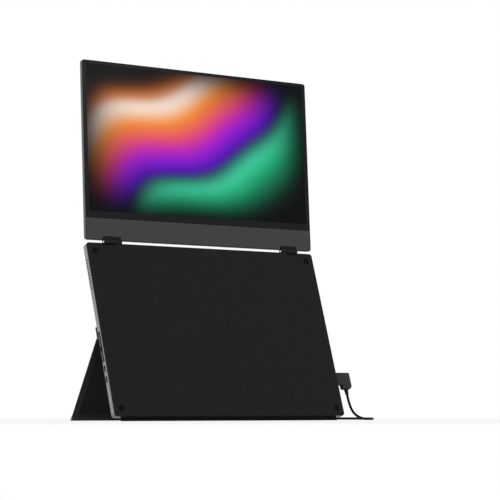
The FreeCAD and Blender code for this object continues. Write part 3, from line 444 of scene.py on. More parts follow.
@dataclass(frozen=True)
class LitScreen:
    """The glass front: black border, lit picture of soft colours, and a faint gloss.

    Width, height and centre are the picture's, in metres, and the lean is in radians.
    """

    name: str
    width: float
    height: float
    centre: Vector
    lean: float
    bands: tuple[Band, ...]
    border: Colour = linear(38, 38, 40)
    border_change: float = 0.03
    border_cloud: float = 30.0
    unlit: Colour = (0.002, 0.002, 0.0025)
    black: Colour = (0.0015, 0.0015, 0.002)
    glow: float = 1.0
    smear: tuple[float, float] = (22.0, 4.0)
    gloss: tuple[float, float] = (0.10, 0.16)
    specular: float = 0.05
    ribbon_turn: float = math.radians(36)
    waves: tuple[Wave, ...] = (Wave(3.6, 0.5, 0.12), Wave(7.9, 2.4, 0.035))
    ribbon_share: float = 0.66
    far_drift: float = 0.35
    far_reach: float = 0.72
    far_power: float = 4.0
    side_power: float = 8.0
    end_power: float = 6.0
    edge_darkness: float = 2.2
    edge_place: float = 0.5

    def build(self) -> bpy.types.Material:
        """Make the glass's material.

        Returns:
            The material, whose picture glows inside the active area.
        """
        made = Shading(self.name)
        shader = made.shader
        place = made.node("ShaderNodeMapping", vector_type="TEXTURE")
        place.inputs["Location"].default_value = self.centre
        place.inputs["Rotation"].default_value = (-self.lean, 0, 0)
        place.inputs["Scale"].default_value = (self.width, 1.0, self.height)
        made.join(made.position(), place.inputs["Vector"])
        parts = made.node("ShaderNodeSeparateXYZ")
        made.join(place.outputs[0], parts.inputs[0])
        across, up = parts.outputs["X"], parts.outputs["Z"]
        inside = self.active_area(made, across, up)
        dark, light = (
            tuple(share * gain for share in self.border)
            for gain in (1 - self.border_change, 1 + self.border_change)
        )
        border = made.mix(made.noise(self.border_cloud), dark, light)
        made.join(made.mix(inside, border, self.unlit), shader.inputs["Base Color"])
        picture = self.picture(made, across, up)
        made.join(made.mix(inside, (0.0, 0.0, 0.0), picture), shader.inputs["Emission Color"])
        shader.inputs["Emission Strength"].default_value = self.glow
        smear = made.spread(made.noise(*self.smear), made.USUAL_NOISE, self.gloss)
        made.join(smear, shader.inputs["Roughness"])
        shader.inputs["Specular IOR Level"].default_value = self.specular
        return made.material

    def active_area(self, made: Shading, across: Socket, up: Socket) -> Socket:
        """Mark the lit rectangle.

        Args:
            made: The material's nodes.
            across: The place along the width, 0 in the middle and 0.5 at the edge.
            up: The place along the height.

        Returns:
            1 inside the picture and 0 outside it.
        """
        wide = made.math("LESS_THAN", made.math("ABSOLUTE", across), self.edge_place)
        tall = made.math("LESS_THAN", made.math("ABSOLUTE", up), self.edge_place)
        return made.math("MULTIPLY", wide, tall)

    def picture(self, made: Shading, across: Socket, up: Socket) -> Socket:
        """Lay soft wavy ribbons of colour over black.

        Args:
            made: The material's nodes.
            across: The place along the width.
            up: The place along the height.

        Returns:
            The picture's colour.
        """
        wide = made.math("MULTIPLY", across, self.width / self.height)
        cosine, sine = math.cos(self.ribbon_turn), math.sin(self.ribbon_turn)
        along = made.math(
            "ADD", made.math("MULTIPLY", wide, cosine), made.math("MULTIPLY", up, sine)
        )
        beside = made.math(
            "SUBTRACT", made.math("MULTIPLY", up, cosine), made.math("MULTIPLY", wide, sine)
        )
        bent = beside
        for wave in self.waves:
            bent = made.math("ADD", bent, wave.build(made, along))
        place = made.math("ADD", made.math("MULTIPLY", bent, self.ribbon_share), 0.5, clamp=True)
        ramp = made.node("ShaderNodeValToRGB")
        ramp.color_ramp.interpolation = "B_SPLINE"
        stops = ramp.color_ramp.elements
        while len(stops) < len(self.bands):
            stops.new(1.0)
        for stop, band in zip(stops, self.bands):
            stop.position = band.at
            stop.color = (*band.colour, 1.0)
        made.join(place, ramp.inputs[0])
        drift = made.math("ADD", along, made.math("MULTIPLY", beside, self.far_drift))
        far = self.steep(made, drift, self.far_reach, self.far_power)
        sides = self.steep(made, across, self.edge_place, self.side_power)
        ends = self.steep(made, up, self.edge_place, self.end_power)
        edge = made.math("MULTIPLY", made.math("ADD", sides, ends), self.edge_darkness)
        dark = made.math("MULTIPLY", made.math("ADD", far, edge), -1.0)
        return made.mix(made.math("EXPONENT", dark), self.black, ramp.outputs[0])

    def steep(self, made: Shading, place: Socket, reach: float, power: float) -> Socket:
        """Return a value that stays near 0 and then climbs steeply.

        Args:
            made: The material's nodes.
            place: The place, 0 in the middle.
            reach: The place at which the value comes to 1.
            power: How steep the climb is.

        Returns:
            The value.
        """
        size = made.math("ABSOLUTE", made.math("MULTIPLY", place, 1 / reach))
        return made.math("POWER", size, power)


@dataclass
class Finishes:
    """Every finish of the object, made once."""

    made: dict[str, bpy.types.Material] = field(default_factory=dict)

    def get(self, finish: Finish) -> bpy.types.Material:
        """Return a finish's material, and make it the first time.

        Args:
            finish: The finish.

        Returns:
            Its material.
        """
        if finish.name not in self.made:
            self.made[finish.name] = finish.build()
        return self.made[finish.name]


GREY_CASING = Finish(
    "blasted_grey_casing", linear(122, 122, 123), roughness=0.44, metallic=0.7,
    grain=Grain.BLASTED, variation=0.03, relief=0.16, edge_lightening=0.5, specular=0.3,
)
DARK_CASING = RimmedFinish(
    "blasted_dark_casing", linear(74, 74, 75), roughness=0.44, metallic=0.7,
    grain=Grain.BLASTED, variation=0.03, relief=0.16, edge_lightening=0.5, specular=0.3,
)
CHIN_METAL = Finish(
    "dark_chin", linear(69, 69, 69), roughness=0.5, metallic=0.2, grain=Grain.BLASTED,
    variation=0.03, relief=0.12, edge_lightening=0.3, specular=0.15,
)
KEY_METAL = Finish(
    "turned_key", linear(36, 36, 37), roughness=0.36, metallic=0.6, grain=Grain.BRUSHED,
    variation=0.04, relief=0.2, edge_lightening=0.6, specular=0.2,
)
PORT_STEEL = Finish(
    "port_steel", linear(56, 56, 58), roughness=0.4, metallic=0.9, grain=Grain.BRUSHED,
    variation=0.06, relief=0.2, specular=0.2,
)
BLACK_COVER = Finish(
    "moulded_black_cover", linear(24, 24, 25), roughness=0.55, grain=Grain.MOULDED,
    variation=0.05, relief=0.3, specular=0.1,
)
HINGE_BLACK = Finish(
    "blackened_hinge", linear(22, 22, 23), roughness=0.42, metallic=0.3, grain=Grain.BLASTED,
    variation=0.05, relief=0.12, edge_lightening=0.5, specular=0.15,
)
STAND_BLACK = Finish(
    "stand_skin", linear(37, 37, 38), roughness=0.62, grain=Grain.MOULDED, variation=0.03,
    relief=0.2, edge_lightening=0.25, specular=0.07,
)
BLACK_RUBBER = Finish(
    "black_rubber", linear(18, 18, 18), roughness=0.8, grain=Grain.RUBBER, variation=0.08,
    relief=0.4, specular=0.06,
)
GREY_RUBBER = Finish(
    "grey_rubber", linear(74, 74, 76), roughness=0.75, grain=Grain.RUBBER, variation=0.08,
    relief=0.4, specular=0.2,
)
PLUG_PLASTIC = Finish(
    "plug_moulding", linear(47, 47, 48), roughness=0.5, grain=Grain.MOULDED, variation=0.06,
    relief=0.25, specular=0.15,
)
# Painted highlight: the ridges are lighter than the plug's body, where the side light catches them.
PLUG_RIDGE_HIGHLIGHT = Finish(
    "painted_highlit_plug_ridges", linear(76, 76, 77), roughness=0.5, grain=Grain.MOULDED,
    variation=0.06, relief=0.25, specular=0.15,
)
CORD_JACKET = Finish(
    "cord_jacket", linear(14, 14, 14), roughness=0.6, grain=Grain.RUBBER, variation=0.06,
    relief=0.25, specular=0.07,
)
RELIEF_RUBBER = Finish(
    "strain_relief_rubber", linear(32, 32, 33), roughness=0.6, grain=Grain.RUBBER,
    variation=0.06, relief=0.25, specular=0.1,
)
STAND_HEM = Finish(
    "stand_hem", linear(40, 40, 41), roughness=0.5, grain=Grain.MOULDED, variation=0.07,
    relief=0.35, specular=0.1,
)
# Near black that paints the shade in recesses: round the keys, in the screw slots and behind the
# grille holes, where it also stands for the mesh's own dark.
RECESS_SHADE = Finish(
    "painted_recess_shade", linear(7, 7, 7), roughness=0.8, variation=0.1, specular=0.02,
)
BARE_STEEL = Finish(
    "bare_steel", linear(178, 178, 180), roughness=0.28, metallic=1.0, grain=Grain.BRUSHED,
    variation=0.04, relief=0.2,
)
BOARD_GREEN = Finish(
    "circuit_board", linear(18, 74, 42), roughness=0.4, grain=Grain.MOULDED, variation=0.15,
    relief=0.2, coat=0.3,
)
INNER_METAL = Finish(
    "inner_plate", linear(168, 168, 170), roughness=0.4, metallic=0.9, grain=Grain.BRUSHED,
    variation=0.04, relief=0.2,
)
INNER_WHITE = Finish(
    "light_guide", linear(225, 226, 228), roughness=0.5, grain=Grain.MOULDED, variation=0.02,
    relief=0.1,
)
CELL_BLACK = Finish("picture_cell", linear(20, 20, 22), roughness=0.2, variation=0.05)


@dataclass(frozen=True)
class NodeFinishes:
    """Which finish each carried-over piece takes."""

    by_finish: tuple[tuple[Finish, tuple[str, ...]], ...] = (
        (GREY_CASING, ("base_rear_shell", "base_end_cap")),
        (DARK_CASING, ("display_rear_shell",)),
        (CHIN_METAL, ("chin_cover",)),
        (KEY_METAL, ("power_key", "rocker_key")),
        (BLACK_COVER, (
            "base_front_cover", "left_hinge_cover", "right_hinge_cover", "left_speaker",
            "right_speaker", "key_switches",
        )),
        (HINGE_BLACK, (
            "left_display_hinge_leaf", "right_display_hinge_leaf", "left_base_hinge_leaf",
            "right_base_hinge_leaf",
        )),
        (STAND_BLACK, ("stand_plate", "stand_mount_strip")),
        (BLACK_RUBBER, ("cover_pads", "base_foot_strip")),
        (GREY_RUBBER, ("stand_foot_strip",)),
        (PLUG_PLASTIC, ("plug_body", "end_plug_body")),
        (RELIEF_RUBBER, ("plug_strain_relief", "end_plug_strain_relief")),
        (BARE_STEEL, (
            "left_hinge_pin", "right_hinge_pin", "stand_hinge_pin", "plug_shell",
            "end_plug_shell", "display_board_screws", "display_hinge_screws", "main_board_screws",
            "port_board_screws", "base_hinge_screws", "stand_strip_screws",
        )),
        (PORT_STEEL, ("left_lower_port", "left_upper_port", "right_port")),
        (BOARD_GREEN, ("display_board", "main_board", "left_port_board", "right_port_board")),
        (INNER_METAL, ("backlight_support",)),
        (INNER_WHITE, ("backlight",)),
        (CELL_BLACK, ("liquid_crystal_cell",)),
    )

    def apply(self, finishes: Finishes) -> None:
        """Give every listed node its finish.

        Args:
            finishes: The finishes made so far.
        """
        for finish, nodes in self.by_finish:
            for name in nodes:
                dress(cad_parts[name], finishes.get(finish))
            LOG.info("dressed %s in %s", ", ".join(nodes), finish.name)


def dress(piece: bpy.types.Object, material: bpy.types.Material) -> None:
    """Put one material on the whole of a piece.

    Args:
        piece: The piece.
        material: The material.
    """
    if not piece.material_slots:
        piece.data.materials.append(material)
    for slot in piece.material_slots:
        slot.material = material


def settle(piece: bpy.types.Object, body: Body) -> None:
    """Put a finished piece in the scene, on its body.

    Args:
        piece: The piece.
        body: The body that it rides on.
    """
    bpy.context.scene.collection.objects.link(piece)
    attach(piece, body.value)
    LOG.info("built %s", piece.name)


@dataclass(frozen=True)
class Stance:
    """Where a flat piece stands: its origin in millimetres and its backward lean in degrees."""

    origin: Point
    lean: float

    def matrix(self) -> Matrix:
        """Return the transform from the piece's own millimetres to metres in the room."""
        turn = Matrix.Rotation(math.radians(self.lean), 4, "X")
        return Matrix.Translation(Vector(self.origin) * MM) @ turn @ Matrix.Scale(MM, 4)


BASE_STANCE = Stance((0.0, -57.4359, 6.3738), -18.8)
STAND_STANCE = Stance((0.0, -10.1828, 104.3742), 32.2)


@dataclass
class Moulding:
    """A small piece made up of soft-edged bars, in the millimetres of the piece that it sits on."""

    name: str
    stance: Stance
    body: Body
    slot: Slot
    finish: Finish
    soften: float
    form: bmesh.types.BMesh = field(default_factory=bmesh.new)

    BEVEL_STEPS: ClassVar[int] = 2
    ROUND_PROFILE: ClassVar[float] = 0.5

    def bar(self, low: Sequence[float], high: Sequence[float]) -> None:
        """Add one bar.

        Args:
            low: The bar's lowest corner: x, depth and height.
            high: Its highest corner.
        """
        size = [b - a for a, b in zip(low, high)]
        centre = [(a + b) / 2 for a, b in zip(low, high)]
        place = Matrix.Translation(centre) @ Matrix.Diagonal((*size, 1.0))
        bmesh.ops.create_cube(self.form, size=1.0, matrix=place)

    def build(self, finishes: Finishes) -> None:
        """Turn the bars into one piece with soft edges.

        Args:
            finishes: The finishes made so far.
        """
        bmesh.ops.bevel(
            self.form,
            geom=self.form.edges[:],
            offset=self.soften,
            segments=self.BEVEL_STEPS,
            affect="EDGES",
            profile=self.ROUND_PROFILE,
        )
        self.form.transform(self.stance.matrix())
        data = bpy.data.meshes.new(self.name)
        self.form.to_mesh(data)
        self.form.free()
        for face in data.polygons:
            face.use_smooth = True
        data.materials.append(finishes.get(self.finish))
        settle(bpy.data.objects.new(self.name, data), self.body)


@dataclass
class StandSkin:
    """The stand's raised hem, along the free edges of both of its faces.

    Sizes are in the stand plate's own millimetres.
    """

    half_width: float = 177.4
    face: float = 1.0
    proud: float = 0.22
    sunk: float = 0.1
    width: float = 6.0
    top: float = -4.0
    bottom: float = -117.3
    inset: float = 0.8
    joint: float = 0.02
    soften: float = 0.1

    def build(self, finishes: Finishes) -> None:
        """Lay the hem on both faces.

        Args:
            finishes: The finishes made so far.
        """
        hem = Moulding(
            "stand_hem", STAND_STANCE, Body.STAND, Slot.STAND_BLACK, STAND_HEM, self.soften
        )
        outer = self.half_width - self.inset
        inner = outer - self.width
        between = inner - self.joint
        for side in (-1, 1):
            near, far = sorted((side * (self.face - self.sunk), side * (self.face + self.proud)))
            hem.bar((-outer, near, self.bottom), (-inner, far, self.top))
            hem.bar((inner, near, self.bottom), (outer, far, self.top))
            hem.bar((-between, near, self.bottom), (between, far, self.bottom + self.width))
        hem.build(finishes)


@dataclass
class SoundGrille:
    """A flush strip with one row of round sound holes on each side, over dark acoustic mesh that is
    painted near black as the shade in the holes.

    Sizes are in the base panel's own millimetres.
    """

    half_width: float = 178.0
    depth: tuple[float, float] = (3.7, 8.6)
    height: tuple[float, float] = (169.8, 214.8)
    row_depth: float = 6.8
    first: float = 173.4
    pitch: float = 4.2
    count: int = 10
    radius: float = 1.4
    proud: float = 0.14
    ring_points: int = 20
    weld: float = 0.001
    mesh_margin: float = 0.1
    mesh_sunk: float = 0.1
    mesh_proud: float = 0.03
    mesh_soften: float = 0.01

    def outline(self) -> list[tuple[float, float]]:
        """Draw the strip's round-ended outline.

        Returns:
            Its corners: depth and height.
        """
        middle = sum(self.depth) / 2
        radius = (self.depth[1] - self.depth[0]) / 2
        steps = self.ring_points // 2
        points = []
        for end, start in ((self.height[1] - radius, 0.0), (self.height[0] + radius, math.pi)):
            for step in range(steps + 1):
                angle = start + math.pi * step / steps
                points.append((middle + radius * math.cos(angle), end + radius * math.sin(angle)))
        return points

    def hole(self, number: int) -> list[tuple[float, float]]:
        """Draw the outline of one hole.

        Args:
            number: The hole's number, from 0 at the bottom.

        Returns:
            Its corners: depth and height.
        """
        up = self.first + number * self.pitch
        turns = [math.tau * step / self.ring_points for step in range(self.ring_points)]
        return [
            (self.row_depth + self.radius * math.cos(turn), up + self.radius * math.sin(turn))
            for turn in turns
        ]

    def drawing(self, name: str) -> bpy.types.Object:
        """Draw the strip with its holes as one filled curve.

        Args:
            name: The drawing's name.

        Returns:
            The drawing, which isn't part of the scene.
        """
        curve = bpy.data.curves.new(name, "CURVE")
        curve.dimensions = "2D"
        curve.fill_mode = "BOTH"
        curve.extrude = self.proud / 2
        for points in (self.outline(), *(self.hole(number) for number in range(self.count))):
            spline = curve.splines.new("POLY")
            spline.points.add(len(points) - 1)
            for point, (across, up) in zip(spline.points, points):
                point.co = (across, up, 0.0, 1.0)
            spline.use_cyclic_u = True
        return bpy.data.objects.new(name, curve)

    def strip(self, side: int, word: str, finishes: Finishes) -> None:
        """Turn the drawing into a closed strip on one side edge.

        Args:
            side: -1 for the left and 1 for the right.
            word: The side's name.
            finishes: The finishes made so far.
        """
        drawing = self.drawing(f"{word}_grille_drawing")
        data = bpy.data.meshes.new_from_object(drawing)
        data.name = f"{word}_grille_strip"
        bpy.data.objects.remove(drawing)
        form = bmesh.new()
        form.from_mesh(data)
        bmesh.ops.remove_doubles(form, verts=form.verts, dist=self.weld)
        bmesh.ops.recalc_face_normals(form, faces=form.faces)
        form.to_mesh(data)
        form.free()
        # The drawing's across, up and thickness become the panel's depth, height and width.
        upright = Matrix(((0, 0, 1, 0), (1, 0, 0, 0), (0, 1, 0, 0), (0, 0, 0, 1)))
        outward = Matrix.Translation((side * (self.half_width + self.proud / 2), 0, 0))
        data.transform(BASE_STANCE.matrix() @ outward @ upright)
        data.materials.clear()
        data.materials.append(finishes.get(GREY_CASING))
        settle(bpy.data.objects.new(data.name, data), Body.BASE)

    def mesh(self, side: int, word: str, finishes: Finishes) -> None:
        """Lay the dark acoustic mesh that shows through the holes, painted near black as the shade
        inside them.

        Args:
            side: -1 for the left and 1 for the right.
            word: The side's name.
            finishes: The finishes made so far.
        """
        name, slot = f"{word}_grille_mesh", Slot.BLACK_PLASTIC
        # Painted shade: the backing is near black for the shade inside the holes as well as for the
        # mesh.
        backing = Moulding(name, BASE_STANCE, Body.BASE, slot, RECESS_SHADE, self.mesh_soften)
        edges = (self.half_width - self.mesh_sunk, self.half_width + self.mesh_proud)
        x = sorted(side * edge for edge in edges)
        reach = self.radius + self.mesh_margin
        last = self.first + (self.count - 1) * self.pitch
        backing.bar(
            (x[0], self.row_depth - reach, self.first - reach),
            (x[1], self.row_depth + reach, last + reach),
        )
        backing.build(finishes)

    def build(self, finishes: Finishes) -> None:
        """Make the strip and the mesh behind it, on both sides.

        Args:
            finishes: The finishes made so far.
        """
        for side, word in ((-1, "left"), (1, "right")):
            self.strip(side, word, finishes)
            self.mesh(side, word, finishes)


@dataclass
class KeyChannel:
    """A thin near-black frame on the left edge around both keys' slots: painted shade of the gap
    round the keys.

    Sizes are in the base panel's own millimetres.
    """

    side: float = -178.0
    depth: tuple[float, float] = (3.6, 8.4)
    height: tuple[float, float] = (72.9, 113.7)
    slot_depth: tuple[float, float] = (4.2, 7.8)
    slots: tuple[tuple[float, float], ...] = ((73.8, 87.7), (93.8, 112.8))
    proud: float = 0.05
    sunk: float = 0.08
    joint: float = 0.01
    soften: float = 0.02

    def build(self, finishes: Finishes) -> None:
        """Lay the frame and leave both slots open, so that the keys can move.

        Args:
            finishes: The finishes made so far.
        """
        # Painted shade: the frame darkens the gap round the keys.
        channel = Moulding(
            "key_channel", BASE_STANCE, Body.BASE, Slot.BLACK_PLASTIC, RECESS_SHADE, self.soften
        )
        outer, inner = self.side - self.proud, self.side + self.sunk
        for near, far in ((self.depth[0], self.slot_depth[0]), (self.slot_depth[1], self.depth[1])):
            channel.bar((outer, near, self.height[0]), (inner, far, self.height[1]))
        near, far = self.slot_depth[0] + self.joint, self.slot_depth[1] - self.joint
        edges = (self.height[0], *(edge for slot in self.slots for edge in slot), self.height[1])
        for low, high in zip(edges[::2], edges[1::2]):
            channel.bar((outer, near, low), (inner, far, high))
        channel.build(finishes)


@dataclass
class PlugGrip:
    """The fine grip ridges on both faces of the right-angle plug, coloured lighter than the body as
    a painted highlight.

    Sizes are in the base panel's own millimetres.
    """

    first: float = 188.6
    pitch: float = 3.1
    count: int = 4
    width: float = 1.3
    proud: float = 0.45
    sunk: float = 0.3
    low: float = 44.5
    high: float = 59.5
    faces: tuple[float, float] = (2.3, 9.7)
    soften: float = 0.25

    def build(self, finishes: Finishes) -> None:
        """Lay the ridges.

        Args:
            finishes: The finishes made so far.
        """
        grip = Moulding(
            "plug_grip_ridges", BASE_STANCE, Body.BASE, Slot.PLUG_PLASTIC, PLUG_RIDGE_HIGHLIGHT, self.soften
        )
        for face, way in zip(self.faces, (-1, 1)):
            near, far = sorted((face - way * self.sunk, face + way * self.proud))
            for number in range(self.count):
                x = self.first + number * self.pitch
                grip.bar((x, near, self.low), (x + self.width, far, self.high))
        grip.build(finishes)


@dataclass
class StripScrewRecesses:
    """The crossed driver slots in the heads of the stand strip's screws, drawn as thin near-black
    crosses that paint the shade inside them.

    Sizes are in the base panel's own millimetres.
    """

    places: tuple[float, ...] = (-150.0, -75.0, 0.0, 75.0, 150.0)
    height: float = 116.1
    face: float = 13.4
    proud: float = 0.04
    sunk: float = 0.1
    half_length: float = 1.15
    half_width: float = 0.28
    soften: float = 0.02

    def build(self, finishes: Finishes) -> None:
        """Mark a cross on every head.

        Args:
            finishes: The finishes made so far.
        """
        slot = Slot.BLACK_PLASTIC
        # Painted shade: near-black crosses stand for the shade inside the driver slots.
        cross = Moulding(
            "strip_screw_slots", BASE_STANCE, Body.BASE, slot, RECESS_SHADE, self.soften
        )
        near, far = self.face - self.sunk, self.face + self.proud
        arms = ((self.half_length, self.half_width), (self.half_width, self.half_length))
        for x in self.places:
            for wide, tall in arms:
                cross.bar(
                    (x - wide, near, self.height - tall), (x + wide, far, self.height + tall)
                )
        cross.build(finishes)


@dataclass
class DisplayFront:
    """The display's glass and the picture that shines through it.

    Sizes are in metres, and the lean is in radians.
    """

    lean: float = math.radians(3.4)
    picture_width: float = 344.2 * MM
    picture_height: float = 193.6 * MM
    top_border: float = 3.2 * MM

    def build(self) -> None:
        """Dress the glass with the lit picture."""
        low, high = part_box("screen_glass")
        up = Vector((0, math.sin(self.lean), math.cos(self.lean)))
        top = Vector((0, low.y + (high.z - low.z) * math.tan(self.lean), high.z))
        centre = top - up * (self.top_border + self.picture_height / 2)
        screen = LitScreen(
            "lit_screen", self.picture_width, self.picture_height, centre, self.lean, PICTURE_BANDS
        )
        dress(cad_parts["screen_glass"], screen.build())
        LOG.info("built the lit screen")


@dataclass
class PowerCord:
    """The cord from the right-angle plug to the coil behind, and on to its far plug.

    Diameter and length are in metres, and every place, radius and height in millimetres. Angles
    are in degrees. The coil winds inward on the table, climbs a cord's thickness over a part of
    a turn, and winds outward on top.
    """

    diameter: float = 3.4 * MM
    length: float = 1.0
    exit: Point = (194.0, -41.4435, 34.733)
    route: tuple[Point, ...] = (
        (194.0, -45.955, 21.48),
        (200.0, -48.8, 8.2),
        (213.0, -50.3, 1.7),
        (230.0, -47.0, 1.7),
        (246.0, -33.0, 1.7),
        (254.0, -10.0, 1.7),
        (255.0, 18.0, 1.7),
        (246.0, 50.0, 1.7),
        (228.0, 82.0, 1.7),
        (203.0, 111.0, 1.7),
        (176.4, 133.8, 1.7),
        (151.4, 151.9, 1.7),
    )
    coil_centre: tuple[float, float] = (130.0, 138.0)
    outer_radius: float = 23.8
    inner_radius: float = 17.0
    table_height: float = 1.7
    join_angle: float = 54.0
    leave_angle: float = 90.0
    turns: int = 5
    climb_turns: float = 0.4
    turn_points: int = 16
    tail: tuple[Point, ...] = ((122.0, 163.7, 4.8), (114.0, 161.4, 3.9))
    tail_end: Point = (107.0, 160.1, 3.3)
    line_order: int = 3
    line_steps: int = 6
    ring_steps: int = 5
    stands_for: tuple[str, ...] = ("power_cord", "cord_coil", "cord_tail")
    ends: tuple[str, ...] = (
        "plug_shell",
        "plug_body",
        "plug_strain_relief",
        "end_plug_strain_relief",
        "end_plug_body",
        "end_plug_shell",
    )

    def coil_point(self, turn: float) -> Point:
        """Say where the cord is after some turns.

        Args:
            turn: How many turns it has made since it joined the coil.

        Returns:
            The place in millimetres.
        """
        pitch = self.diameter / MM
        inward = (self.outer_radius - self.inner_radius) / pitch
        climb = min(1.0, max(0.0, (turn - inward) / self.climb_turns))
        outward = max(0.0, turn - inward - self.climb_turns)
        radius = max(self.inner_radius, self.outer_radius - pitch * turn) + pitch * outward
        angle = math.radians(self.join_angle) + turn * math.tau
        x = self.coil_centre[0] + radius * math.cos(angle)
        y = self.coil_centre[1] + radius * math.sin(angle)
        return x, y, self.table_height + pitch * math.sin(climb * math.pi / 2)

    def coil_points(self) -> list[Point]:
        """Wind all the turns.

        Returns:
            The points of the turns, in millimetres.
        """
        total = self.turns + (self.leave_angle - self.join_angle) / 360
        count = round(total * self.turn_points)
        return [self.coil_point(total * number / count) for number in range(count + 1)]

    def line(self) -> bpy.types.Curve:
        """Draw the cord's round line.

        Returns:
            The line, in metres.
        """
        points = [self.exit, *self.route, *self.coil_points(), *self.tail, self.tail_end]
        curve = bpy.data.curves.new("power_cord_line", "CURVE")
        curve.dimensions = "3D"
        spline = curve.splines.new("NURBS")
        spline.points.add(len(points) - 1)
        for point, place in zip(spline.points, points):
            point.co = (*(value * MM for value in place), 1.0)
        spline.order_u = self.line_order
        spline.use_endpoint_u = True
        spline.resolution_u = self.line_steps
        curve.bevel_depth = self.diameter / 2
        curve.bevel_resolution = self.ring_steps
        curve.use_fill_caps = True
        return curve

    def build(self, finishes: Finishes) -> None:
        """Args:
            finishes: The finishes made so far.
        """
        cord = bpy.data.objects.new("power_cord_line", self.line())
        bpy.context.scene.collection.objects.link(cord)
        cord.data.materials.append(finishes.get(CORD_JACKET))
        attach(cord, Body.BASE.value)
        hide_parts(*self.stands_for)
        LOG.info("built %s", cord.name)


@dataclass(frozen=True)
class Lamp:
    """A soft lamp with a rectangular face. Places and sizes are in metres."""

    name: str
    place: Point
    size: tuple[float, float]
    power: float
    aim: Point = (0.0, 0.0, 0.22)

    def build(self) -> None:
        """Hang the lamp and aim it."""
        data = bpy.data.lights.new(self.name, "AREA")
        data.shape = "RECTANGLE"
        data.size, data.size_y = self.size
        data.energy = self.power
        lamp = bpy.data.objects.new(self.name, data)
        lamp.location = self.place
        to_aim = Vector(self.aim) - Vector(self.place)
        lamp.rotation_euler = to_aim.to_track_quat("-Z", "Y").to_euler()
        bpy.context.scene.collection.objects.link(lamp)
        LOG.info("hung %s", self.name)


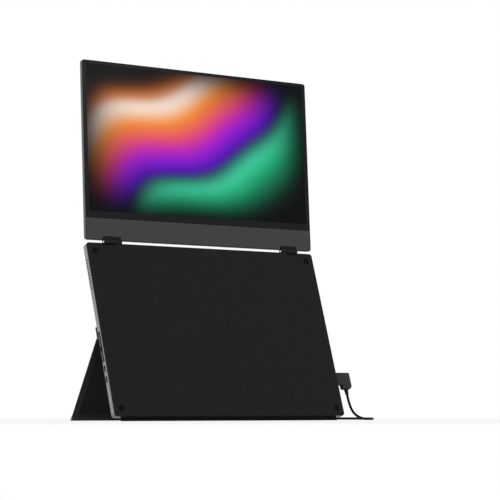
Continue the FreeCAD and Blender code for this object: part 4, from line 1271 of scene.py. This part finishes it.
@dataclass
class Studio:
    """The pale table and backdrop, the lamps, the world and the camera.

    The camera's place and sensor are in millimetres, its angles in degrees, and the rest is in
    metres.
    """

    camera_place: Point = (-1425.49, -2175.94, 17.0)
    camera_yaw: float = 34.3828
    camera_pitch: float = 4.5613
    camera_lens: float = 142.113
    camera_sensor: float = 36.0
    camera_reach: tuple[float, float] = (0.05, 50.0)
    sky_colour: Colour = (0.93, 0.95, 1.0)
    sky_strength: float = 0.42
    backdrop: Colour = (1.0, 1.0, 1.0)
    table_half: float = 6.0
    table_colour: Colour = (0.94, 0.94, 0.94)
    table_change: float = 0.995
    table_speck: float = 40.0
    fading_from: tuple[float, float] = (0.35, 0.85)
    fading_to: tuple[float, float] = (0.8, 1.0)
    lamps: tuple[Lamp, ...] = (
        Lamp("left_lamp", (-3.0, 0.4, 0.9), (1.8, 1.8), 22.0),
        Lamp("left_rear_lamp", (-2.2, 2.8, 0.9), (2.4, 2.0), 17.0),
        Lamp("front_lamp", (0.9, -3.2, 1.9), (2.2, 1.4), 22.0),
        Lamp("rear_lamp", (1.6, 2.2, 2.4), (2.0, 1.4), 34.0),
    )

    def rays_that_see(self, nodes: bpy.types.Nodes, links: bpy.types.NodeLinks) -> Socket:
        """Tell the rays that show the surroundings from those that only light the object.

        Args:
            nodes: The nodes of the tree to add to.
            links: The links of the same tree.

        Returns:
            1 for a ray from the camera, off a gloss or through glass, and 0 for any other.
        """
        path = nodes.new("ShaderNodeLightPath")
        shown = path.outputs["Is Camera Ray"]
        for name in ("Is Glossy Ray", "Is Transmission Ray"):
            larger = nodes.new("ShaderNodeMath")
            larger.operation = "MAXIMUM"
            links.new(shown, larger.inputs[0])
            links.new(path.outputs[name], larger.inputs[1])
            shown = larger.outputs[0]
        return shown

    def white_room(self) -> None:
        """Light the world evenly, and show it white behind the object."""
        world = bpy.data.worlds.new("studio_world")
        bpy.context.scene.world = world
        world.use_nodes = True
        nodes, links = world.node_tree.nodes, world.node_tree.links
        nodes.clear()
        out = nodes.new("ShaderNodeOutputWorld")
        mixed = nodes.new("ShaderNodeMixShader")
        links.new(self.rays_that_see(nodes, links), mixed.inputs[0])
        looks = ((self.sky_colour, self.sky_strength), (self.backdrop, 1.0))
        for socket, (colour, strength) in zip(mixed.inputs[1:], looks):
            shone = nodes.new("ShaderNodeBackground")
            shone.inputs["Color"].default_value = (*colour, 1.0)
            shone.inputs["Strength"].default_value = strength
            links.new(shone.outputs[0], socket)
        links.new(mixed.outputs[0], out.inputs["Surface"])

    def table_finish(self) -> bpy.types.Material:
        """Make the table's white, which turns to the backdrop's away from the object.

        Returns:
            The material.
        """
        made = Shading("table_white")
        made.shader.inputs["Roughness"].default_value = 1.0
        made.shader.inputs["Specular IOR Level"].default_value = 0.0
        pale = self.table_colour
        dull = tuple(share * self.table_change for share in pale)
        speck = made.noise(self.table_speck)
        made.join(made.mix(speck, dull, pale), made.shader.inputs["Base Color"])
        distance = made.node("ShaderNodeVectorMath", operation="LENGTH")
        made.join(made.position(), distance.inputs[0])
        fading = made.spread(
            distance.outputs["Value"], self.fading_from, self.fading_to, Course.SOFT
        )
        share = made.math("MULTIPLY", self.rays_that_see(made.nodes, made.links), fading)
        glow = made.node("ShaderNodeEmission")
        glow.inputs["Strength"].default_value = 1.0
        shown = made.node("ShaderNodeMixShader")
        made.join(share, shown.inputs[0])
        made.join(made.shader.outputs[0], shown.inputs[1])
        made.join(glow.outputs[0], shown.inputs[2])
        made.join(shown.outputs[0], made.nodes["Material Output"].inputs["Surface"])
        return made.material

    def table(self) -> None:
        """Lay the table."""
        data = bpy.data.meshes.new("table_top")
        form = bmesh.new()
        bmesh.ops.create_grid(form, x_segments=1, y_segments=1, size=self.table_half)
        form.to_mesh(data)
        form.free()
        data.materials.append(self.table_finish())
        top = bpy.data.objects.new("table_top", data)
        bpy.context.scene.collection.objects.link(top)
        LOG.info("laid %s", top.name)

    def camera(self) -> None:
        """Set the camera where the photograph was taken from."""
        data = bpy.data.cameras.new("portrait_camera")
        data.lens = self.camera_lens
        data.sensor_width = self.camera_sensor
        data.clip_start, data.clip_end = self.camera_reach
        camera = bpy.data.objects.new("portrait_camera", data)
        camera.location = [value * MM for value in self.camera_place]
        pitch, yaw = math.radians(90 + self.camera_pitch), math.radians(-self.camera_yaw)
        camera.rotation_euler = (pitch, 0.0, yaw)
        bpy.context.scene.collection.objects.link(camera)
        bpy.context.scene.camera = camera

    def build(self) -> None:
        """Set up the whole studio."""
        bpy.context.scene.view_settings.view_transform = "Standard"
        self.white_room()
        self.table()
        for lamp in self.lamps:
            lamp.build()
        self.camera()
        LOG.info("set up the studio")


def main() -> None:
    """Build the sub-assemblies in order."""
    logging.basicConfig(level=logging.INFO, format="%(message)s")
    finishes = Finishes()
    Studio().build()
    PowerCord().build(finishes)
    NodeFinishes().apply(finishes)
    DisplayFront().build()
    StandSkin().build(finishes)
    SoundGrille().build(finishes)
    KeyChannel().build(finishes)
    PlugGrip().build(finishes)
    StripScrewRecesses().build(finishes)


if __name__ == "__main__":
    main()
